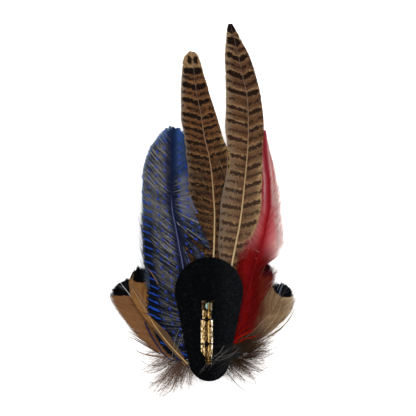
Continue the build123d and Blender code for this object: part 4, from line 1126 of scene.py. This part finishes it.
for name, feather, fibre, stops, runs in (
        ("guinea_fringe", guineaPlace, "loose_grey_blue_barbs",
         [(0.0, "#232b39"), (0.5, "#414b5a"), (1.0, "#6c747e")],
         [(-1, 0.22, 0.62, 520, (2.5, 8.0), 30, 0.0), (-1, 0.50, 0.98, 120, (0.6, 1.6), 34, 0.2)]),
        ("red_fringe_outer", redPlace, "loose_pale_pink_barbs",
         [(0.0, "#b07070"), (0.5, "#d8b4ae"), (1.0, "#ecdfd9")],
         [(1, 0.42, 0.72, 520, (2.5, 7.0), 26, 0.2)]),
        ("red_fringe_inner", redPlace, "loose_pink_barbs",
         [(0.0, "#7c1c1e"), (0.5, "#a85250"), (1.0, "#cc9c94")],
         [(-1, 0.37, 0.48, 130, (1.5, 4.5), 34, 0.6)]),
        ("red_fringe_low", redPlace, "loose_red_barbs",
         [(0.0, "#4c0505"), (0.6, "#6e0e0c"), (1.0, "#8c2a20")],
         [(1, 0.00, 0.30, 420, (3.0, 10.0), 52, 0.4), (1, 0.26, 0.36, 60, (4.0, 9.0), 40, 0.4),
          (-1, 0.22, 0.40, 260, (1.5, 5.0), 34, 0.6)]),
        ("left_outer_fringe", leftOuter, "loose_brown_barbs",
         [(0.0, "#4a3426"), (0.6, "#7d5d45"), (1.0, "#a89a8c")],
         [(-1, 0.30, 0.90, 200, (1.2, 4.0), 26, 0.1)]),
        ("left_outer_silver", leftOuter, "silver_barbs_left",
         [(0.0, "#4c4a4a"), (1.0, "#a6a5a4")],
         [(-1, 0.88, 1.0, 80, (0.8, 2.4), 22, 0.15), (1, 0.90, 1.0, 60, (0.6, 1.6), 12, 0.15)]),
        ("left_inner_silver", leftInner, "silver_barbs_inner",
         [(0.0, "#3c3a3a"), (1.0, "#8e8c8a")],
         [(1, 0.90, 1.0, 60, (0.4, 1.2), 14, 0.1), (-1, 0.86, 1.0, 60, (0.4, 1.4), 20, 0.1)]),
        ("right_outer_fringe", rightOuter, "loose_tan_edge_barbs",
         [(0.0, "#5a4434"), (0.6, "#8a6e54"), (1.0, "#c2b4a4")],
         [(1, 0.36, 0.98, 220, (2.0, 6.0), 16, 0.2)]),
        ("right_inner_fringe", rightInner, "loose_wine_barbs",
         [(0.0, "#4a1412"), (0.6, "#7c3a30"), (1.0, "#b08a80")],
         [(1, 0.55, 0.98, 150, (2.0, 7.0), 26, 0.2)])):
    makeFringe(name, feather, runs, looseFibre(fibre, stops))
print("fringes made")


# Single barbs and wisps that stand out of the plume, read off the photo's pixels
photoMiddleX, photoMiddleY, pixelSize = 202, 210, 0.6


def fromPhoto(x, y, z):
    return ((x - photoMiddleX) * pixelSize, (photoMiddleY - y) * pixelSize, z)


def makeStrays(name, paths, material, steps=26):
    lines, halves, tints = [], [], []
    rng = np.random.default_rng(31)
    for width, path in paths:
        knots = np.array([fromPhoto(*point) for point in path])
        far = np.concatenate([[0], np.cumsum(np.linalg.norm(np.diff(knots, axis=0), axis=1))])
        places = np.linspace(0, far[-1], steps)
        line = np.stack([np.interp(places, far, knots[:, k]) for k in range(3)], axis=-1)
        for _ in range(3):  # rounds the corners between the points
            line[1:-1] = (line[:-2] + 2 * line[1:-1] + line[2:]) / 4
        lines.append(line)
        t = np.linspace(0, 1, steps)
        halves.append(0.5 * width * (1 - 0.75 * t ** 2))
        tints.append(rng.random())
    newStrands(name, np.stack(lines), np.stack(halves), np.array(tints), material)
    print("strays made:", name, len(paths))


# Width in millimetres, then photo x, y and height above the table in millimetres
brownStrays = [
    (1.0, [(166, 358, 6), (152, 356, 4), (142, 354, 2.5), (134, 350, 1.5)]),
    (0.8, [(160, 354, 6), (148, 347, 4), (137, 341, 2.5), (127, 336, 1.5)]),
    (0.7, [(156, 350, 6), (145, 342, 4), (134, 335, 2.5), (124, 329, 1.5)]),
    (0.7, [(158, 352, 6), (147, 345, 4), (138, 340, 2.5), (129, 334, 1.5)]),
    (0.8, [(158, 284, 12.0), (155, 278, 11.6), (151, 272, 10.8), (147, 267, 9.8)]),
    (0.45, [(174, 360, 6), (158, 366, 4), (146, 365, 2.5), (136, 356, 1.5)]),
    (0.4, [(172, 362, 6), (160, 371, 4), (149, 374, 2.5), (140, 369, 1.5)]),
    (0.45, [(174, 366, 6), (163, 379, 4), (152, 384, 2.5), (143, 380, 1.5)]),
    (0.4, [(176, 370, 6), (167, 386, 4), (157, 392, 2.5), (149, 390, 1.5)]),
    (0.45, [(178, 374, 6), (172, 389, 4), (165, 396, 2.5), (157, 397, 1.5)]),
    (0.45, [(236, 350, 6), (252, 350, 4), (266, 346, 2.5), (276, 339, 1.5)]),
    (0.4, [(236, 356, 6), (252, 360, 4), (266, 358, 2.5), (279, 350, 1.5)]),
    (0.45, [(234, 362, 6), (248, 370, 4), (260, 372, 2.5), (269, 367, 1.5)]),
    (0.4, [(232, 368, 6), (244, 380, 4), (254, 385, 2.5), (262, 382, 1.5)]),
    (0.45, [(228, 374, 6), (238, 386, 4), (246, 392, 2.5), (254, 391, 1.5)]),
    (0.8, [(271, 336, 6), (282, 328, 4), (290, 319, 2.5), (296, 308, 1.5)]),
    (0.6, [(268, 337, 6), (279, 330, 4), (288, 322, 2.5), (294, 312, 1.5)]),
    (0.4, [(196, 214, 11.2), (191, 207, 11.2), (187, 200, 11.0), (184, 194, 10.6)]),
]
blueStrays = [
    (0.9, [(145, 322, 7.4), (148, 329, 7.8), (152, 337, 8.2), (158, 346, 8.6),
           (165, 356, 9.2), (173, 361, 9.6), (181, 360, 10.0), (187, 356, 10.6)]),
    (0.4, [(145, 262, 6.5), (142, 254, 6.0), (140, 247, 5.6), (139, 240, 5.2)]),
    (0.3, [(145, 272, 6.5), (141, 263, 6.0), (138, 255, 5.6), (136, 248, 5.2)]),
    (0.3, [(144, 250, 6.5), (141, 243, 6.0), (138, 236, 5.6), (137, 228, 5.2)]),
    (0.3, [(143, 232, 6.5), (140, 225, 6.0), (138, 217, 5.6), (137, 210, 5.2)]),
    (0.3, [(144, 282, 6.5), (141, 275, 6.0), (139, 268, 5.6), (137, 262, 5.2)]),
    (0.32, [(172, 192.5, 9.4), (163, 194.5, 9.6), (155, 198, 9.4), (147, 200.5, 9.0)]),
    (0.28, [(168, 217, 10.0), (163, 219, 10.1), (158, 222, 10.0), (153, 224.5, 9.6)]),
]
redStrays = [
    (1.6, [(232, 344, 11.4), (239, 337, 11.4), (247, 333, 11.2), (254, 330, 10.8)]),
    (1.4, [(233, 340, 11.4), (240, 332, 11.4), (246, 327, 11.2), (251, 324, 10.8)]),
    (1.5, [(236, 343, 11.2), (245, 339, 11.2), (253, 337, 11.0), (260, 335, 10.6)]),
    (0.7, [(234, 336, 11.4), (239, 327, 11.4), (244, 320, 11.2), (248, 316, 10.8)]),
]
edgeStrays = [
    (0.34, [(268, 338, 7.4), (277, 330, 6.2), (285, 320, 4.9), (290, 310, 3.6), (291, 299, 2.6)]),
    (0.28, [(266, 335, 7.6), (274, 327, 6.6), (281, 318, 5.4), (286, 309, 4.2), (287, 300, 3.2)]),
    (0.24, [(264, 332, 7.8), (271, 324, 6.8), (277, 315, 5.8), (281, 306, 4.8), (282, 299, 4.0)]),
    (0.26, [(270, 339, 7.2), (280, 331, 5.6), (288, 321, 4.0), (293, 310, 2.8), (293, 301, 2.2)]),
]
paleWisps = [
    (0.14, [(172, 357, 11), (174, 344, 12), (177, 333, 12.6), (181, 327, 13), (184, 330, 13),
            (182, 340, 12.6), (177, 350, 12)]),
    (0.12, [(184, 352, 11), (178, 348, 12), (174, 340, 12.4), (176, 331, 12.6)]),
    (0.13, [(183, 333, 12.4), (179, 341, 12.6), (176, 352, 12), (175, 360, 11)]),
    (0.16, [(149, 309, 9.0), (144, 301, 7.6), (138, 292, 6.2), (130, 281, 4.6)]),
    (0.13, [(148, 312, 9.2), (142, 303, 7.8), (136, 294, 6.4), (128, 284, 4.8)]),
    (0.16, [(238, 351, 14.6), (228, 354, 15), (218, 357, 15), (210, 362, 14.8), (202, 372, 14.4)]),
    (0.14, [(242, 352, 14.4), (234, 353, 15), (225, 357, 15), (216, 356, 15), (208, 352, 14.6)]),
    (0.14, [(236, 346, 14.4), (228, 350, 15), (221, 355, 15), (214, 360, 14.8)]),
    (0.14, [(224, 345, 14.6), (220, 352, 15), (213, 357, 15), (205, 365, 14.6), (199, 374, 14.2)]),
    (0.14, [(231, 346, 14.6), (223, 353, 15), (215, 361, 15), (208, 370, 14.6)]),
    (0.13, [(240, 347, 14.4), (229, 357, 15), (219, 360, 15), (211, 357, 14.6)]),
]
tailStrays = [
    (0.12, [(235.8, 180, 9.0), (235.0, 188, 9.2), (232.6, 196, 9.4), (231.6, 203, 9.6)]),
    (0.14, [(237.0, 182, 9.0), (235.6, 192, 9.2), (234.0, 200, 9.4)]),
    (0.09, [(219, 160, 9.6), (221, 166, 9.6), (224, 172, 9.6), (226.5, 178, 9.6)]),
    (0.09, [(196, 170, 8.6), (201, 177, 8.8), (206, 186, 9.0)]),
]
for name, paths, fibre, pale, dark, slot in (
        ("stray_barbs_brown", brownStrays, "loose_tan_barbs", "#8a6a50", "#4a3426", "tan_body"),
        ("stray_barbs_blue", blueStrays, "loose_navy_barbs", "#20294a", "#0b1024", "blue_guinea"),
        ("stray_barbs_red", redStrays, "loose_scarlet_barbs", "#92160b", "#640504", "red_hackle"),
        ("stray_barbs_edge", edgeStrays, "loose_sand_barbs", "#cdbb9e", "#a08a6c", "tan_body"),
        ("stray_barbs_tail", tailStrays, "loose_buff_barbs", "#b8a88e", "#8a7a66",
         "pheasant_tail"),
        ("pale_wisps", paleWisps, "pale_fibre", "#aaa6a0", "#6c6966", "brown_down")):
    makeStrays(name, paths, looseFibre(fibre, [(0.0, dark), (1.0, pale)]))


# Felt backing: a circle whose lower arc is drawn in and moved to make the pear
feltLook = {
    "arcPoints": 160, "voxel": 0.5, "relief": 0.22, "reliefSize": 1.6, "bevel": 0.6,
    "bevelSteps": 3, "napSize": 0.7, "patchSize": 9.0, "patch": "#0a0a0d",
    # painted light on the right side of the felt
    "paintedLight": "#1f2024", "paintedLightZone": (4.0, 20.0),
    "wool": [(0.30, "#020203"), (0.55, "#050607"), (0.80, "#0f1013")],
}
headPlace = (feltMiddle * mm, feltHeadY * mm, feltLow[2] * mm)
bpy.ops.mesh.primitive_circle_add(vertices=feltLook["arcPoints"], radius=feltHeadRadius * mm,
                                  fill_type="NGON", location=headPlace)
felt = bpy.context.object
felt.name = "felt_pad"
bpy.ops.object.transform_apply(location=True, rotation=True, scale=True)
spanY = feltHeadY - feltFootY
tangentLow = (feltHeadRadius - feltFootRadius) / spanY
bpy.ops.object.mode_set(mode="EDIT")
bpy.ops.mesh.select_all(action="DESELECT")
bpy.ops.object.mode_set(mode="OBJECT")
for vertex in felt.data.vertices:
    up = (vertex.co.y / mm - feltHeadY) / feltHeadRadius
    vertex.select = up < -tangentLow
bpy.ops.object.mode_set(mode="EDIT")
bpy.ops.transform.resize(value=(feltFootRadius / feltHeadRadius,) * 2 + (1,),
                         center_override=headPlace)
bpy.ops.transform.translate(value=(0, -spanY * mm, 0))
bpy.ops.mesh.select_all(action="SELECT")
bpy.ops.mesh.extrude_region_move(
    TRANSFORM_OT_translate={"value": (0, 0, (feltHigh[2] - feltLow[2]) * mm)})
bpy.ops.mesh.select_all(action="SELECT")
bpy.ops.mesh.normals_make_consistent(inside=False)
bpy.ops.object.mode_set(mode="OBJECT")
rounding = felt.modifiers.new("rounded rim", "BEVEL")
rounding.width = feltLook["bevel"] * mm
rounding.segments = feltLook["bevelSteps"]
rounding.limit_method = "ANGLE"
remesh = felt.modifiers.new("even mesh", "REMESH")
remesh.mode = "VOXEL"
remesh.voxel_size = feltLook["voxel"] * mm
relief = felt.modifiers.new("nap relief", "DISPLACE")
cloud = bpy.data.textures.new("nap_clouds", "CLOUDS")
cloud.noise_scale = feltLook["reliefSize"] * mm
cloud.noise_depth = 2
relief.texture = cloud
relief.texture_coords = "LOCAL"
relief.strength = feltLook["relief"] * mm
for modifier in list(felt.modifiers):
    bpy.ops.object.modifier_apply(modifier=modifier.name)
felt.data.shade_smooth()
felt.data.materials.append(blackFelt("needled_wool_felt", feltLook))
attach(felt, plumeBody)
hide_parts("felt_backing")
print("felt made:", len(felt.data.polygons), "faces")


def insidePear(points, inset):
    # which points lie on the felt, at least inset from its rim
    x, y = points[:, 0] - feltMiddle, points[:, 1]
    low = np.clip((feltHeadY - y) / spanY, 0, 1)
    radius = feltHeadRadius + (feltFootRadius - feltHeadRadius) * low - inset
    centre = feltHeadY - low * spanY
    return x ** 2 + (y - centre) ** 2 < radius ** 2


def makeFibres(name, count, sizes, halfWidth, stops, rise, seed):
    rng = np.random.default_rng(seed)
    low, high = feltLow[:2], feltHigh[:2]
    starts = rng.uniform(low, high, (count * 2, 2))
    starts = starts[insidePear(starts, 0.6)][:count]
    amount, steps = len(starts), 5
    flat, _ = strandPath(starts, rng.uniform(0, 2 * math.pi, amount),
                         rng.uniform(*sizes, amount), rng.normal(0, 1.2, amount),
                         rng.uniform(0, 0.2, amount), steps, rng)
    t = np.linspace(0, 1, steps)
    level = feltHigh[2] + 0.02 + rng.uniform(*rise, amount)[:, None] * np.sin(t * 2.4)[None]
    lines = np.concatenate([flat, level[..., None]], axis=-1)
    halves = halfWidth * (1 - 0.6 * t)[None] * rng.uniform(0.7, 1.2, amount)[:, None]
    newStrands(name, lines, halves, rng.random(amount), looseFibre(name + "_wool", stops, 0.9))


# Count, lengths, half a width, colours, rise above the felt and seed
makeFibres("felt_nap", 2600, (0.7, 2.0), 0.05,
           [(0.0, "#040405"), (0.5, "#0e0f12"), (1.0, "#2e3036")], (0.05, 0.35), 41)
makeFibres("felt_lint", 70, (0.5, 1.8), 0.055,
           [(0.0, "#2a2b2c"), (1.0, "#5a5a58")], (0.1, 0.4), 42)
print("felt fibres made")


# Carried-over nodes: bar pin and thread keep their CAD shape
# Places are right and up on the plume; the span of the painted light and shade bands runs from left
# to right over the bar
anyBrass = {
    "grain": 0.8, "rough": 0.3, "pits": 0.3, "lightAndShadeSpan": (-1.0, 6.6), "shadeAndDirt": "#060403",
    "holeEdge": (1.7, 2.1), "threadEdge": (0.35, 0.6), "footShade": "#1c130b",
    # where the catch's painted shade and its painted reflection lie
    "catchShadeFrom": (-60.2, -59.7), "catchShadeTo": (4.2, 4.6), "catchReflection": "#a6c0b4",
    "moon": (4.1, -57.3, 2.1), "moonTo": 4.25,
}
stitchHoles = ((2.9, -65.4), (2.9, -80.1))
barMetal = {
    **anyBrass, "grain": 0.9, "pits": 1.0, "catchShade": "#1a0c05", "footTo": -86.6,
    "holes": stitchHoles,
    "metal": [(0.36, "#24180e"), (0.44, "#7c6848"), (0.52, "#cbb994"), (0.60, "#fffaf0")],
    # painted highlights on the folded edges, painted shadow lines between them
    "lightAndShadeBands": [(0.02, "#ffffff"), (0.10, "#e0d0b0"), (0.34, "#a89878"), (0.40, "#6a583e"),
              (0.53, "#5c4a32"), (0.60, "#b8a078"), (0.76, "#b8a078"), (0.83, "#3a2a1a"),
              (0.88, "#ffffff"), (0.97, "#ffffff")],
}
needleMetal = {
    **anyBrass, "grain": 0.9, "pits": 0.1, "footTo": -83.0, "holes": stitchHoles,
    "metal": [(0.3, "#8a6630"), (0.5, "#c29a50"), (0.7, "#f0d28c")],
    # painted highlight down the middle of the wire, painted shade on its flanks
    "lightAndShadeBands": [(0.555, "#4a3820"), (0.60, "#d8c090"), (0.63, "#ffffff"), (0.68, "#ffffff"),
              (0.72, "#6a5432")],
}
# the rotor is coloured near black: painted shade of the catch's opening that it sits in
rotorMetal = {**anyBrass, "rough": 0.4, "catchShade": "#120904",
              "metal": [(0.35, "#100b06"), (0.6, "#20180f"), (0.75, "#4a3a24")]}
rivetMetal = {**anyBrass, "metal": [(0.35, "#1e150c"), (0.6, "#40311d"), (0.75, "#cdb88c")]}
for node, material in (("pin_bar", giltBrass("gilt_stamped_brass", barMetal)),
                       ("hinge_rivet", giltBrass("gilt_turned_brass", rivetMetal)),
                       ("pin_needle", giltBrass("gilt_drawn_wire", needleMetal)),
                       ("catch_rotor", giltBrass("rolled_brass_painted_dark", rotorMetal)),
                       ("stitch_upper", blackThread("waxed_thread_upper")),
                       ("stitch_lower", blackThread("waxed_thread_lower"))):
    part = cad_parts[node]
    part.data.materials.clear()
    part.data.materials.append(material)
print("metal and thread coloured")

# Floor, light and camera
stageLook = {
    "floorSize": 4.0, "glow": 0.6, "sky": 0.46, "cameraHeight": 2.008, "sharpHeight": 0.008,
    "viewWidth": 249.6, "viewX": 3.6, "viewY": 1.2, "filmWidth": 36.0,
    # name, place, turn, size and power of each lamp
    "lamps": (("overhead_softbox", (0.25, 0.35, 1.5), (-0.2, 0.16, 0), 1.3, 17.0),
              ("side_softbox", (-1.3, 0.2, 0.8), (0, -1.0, 0), 0.8, 3.0)),
}
bpy.ops.mesh.primitive_plane_add(size=stageLook["floorSize"], location=(0, 0, 0))
floor = bpy.context.object
floor.name = "floor"
# Matt white card: coated paper, even and faintly glowing, so that shadows on it stay light
floorMaterial, tree = startMaterial("matt_white_card")
card = addNode(tree, "ShaderNodeValToRGB", {"ramp": [(0.3, "#f1f1f1"), (0.7, "#f9f9f9")]},
               {"Fac": noise(tree, 300.0, 2)})
finishMaterial(card, {"Roughness": 0.9, "Specular IOR Level": 0.1, "Emission Color": "#ffffff",
                      "Emission Strength": stageLook["glow"]})
floor.data.materials.append(floorMaterial)

world = bpy.data.worlds.new("soft_studio")
bpy.context.scene.world = world
world.use_nodes = True
world.node_tree.nodes["Background"].inputs["Color"].default_value = linear("#ffffff")
world.node_tree.nodes["Background"].inputs["Strength"].default_value = stageLook["sky"]
for name, place, turn, size, power in stageLook["lamps"]:
    bpy.ops.object.light_add(type="AREA", location=place, rotation=turn)
    lamp = bpy.context.object
    lamp.name = name
    lamp.data.size = size
    lamp.data.energy = power

cameraData = bpy.data.cameras.new("photo_camera")
camera = bpy.data.objects.new("photo_camera", cameraData)
bpy.context.scene.collection.objects.link(camera)
camera.location = (stageLook["viewX"] * mm, stageLook["viewY"] * mm, stageLook["cameraHeight"])
cameraData.sensor_width = stageLook["filmWidth"]
cameraData.lens = (stageLook["filmWidth"] * (stageLook["cameraHeight"] - stageLook["sharpHeight"])
                   / (stageLook["viewWidth"] * mm))
bpy.context.scene.camera = camera
bpy.context.scene.view_settings.view_transform = "Standard"
print("stage made")
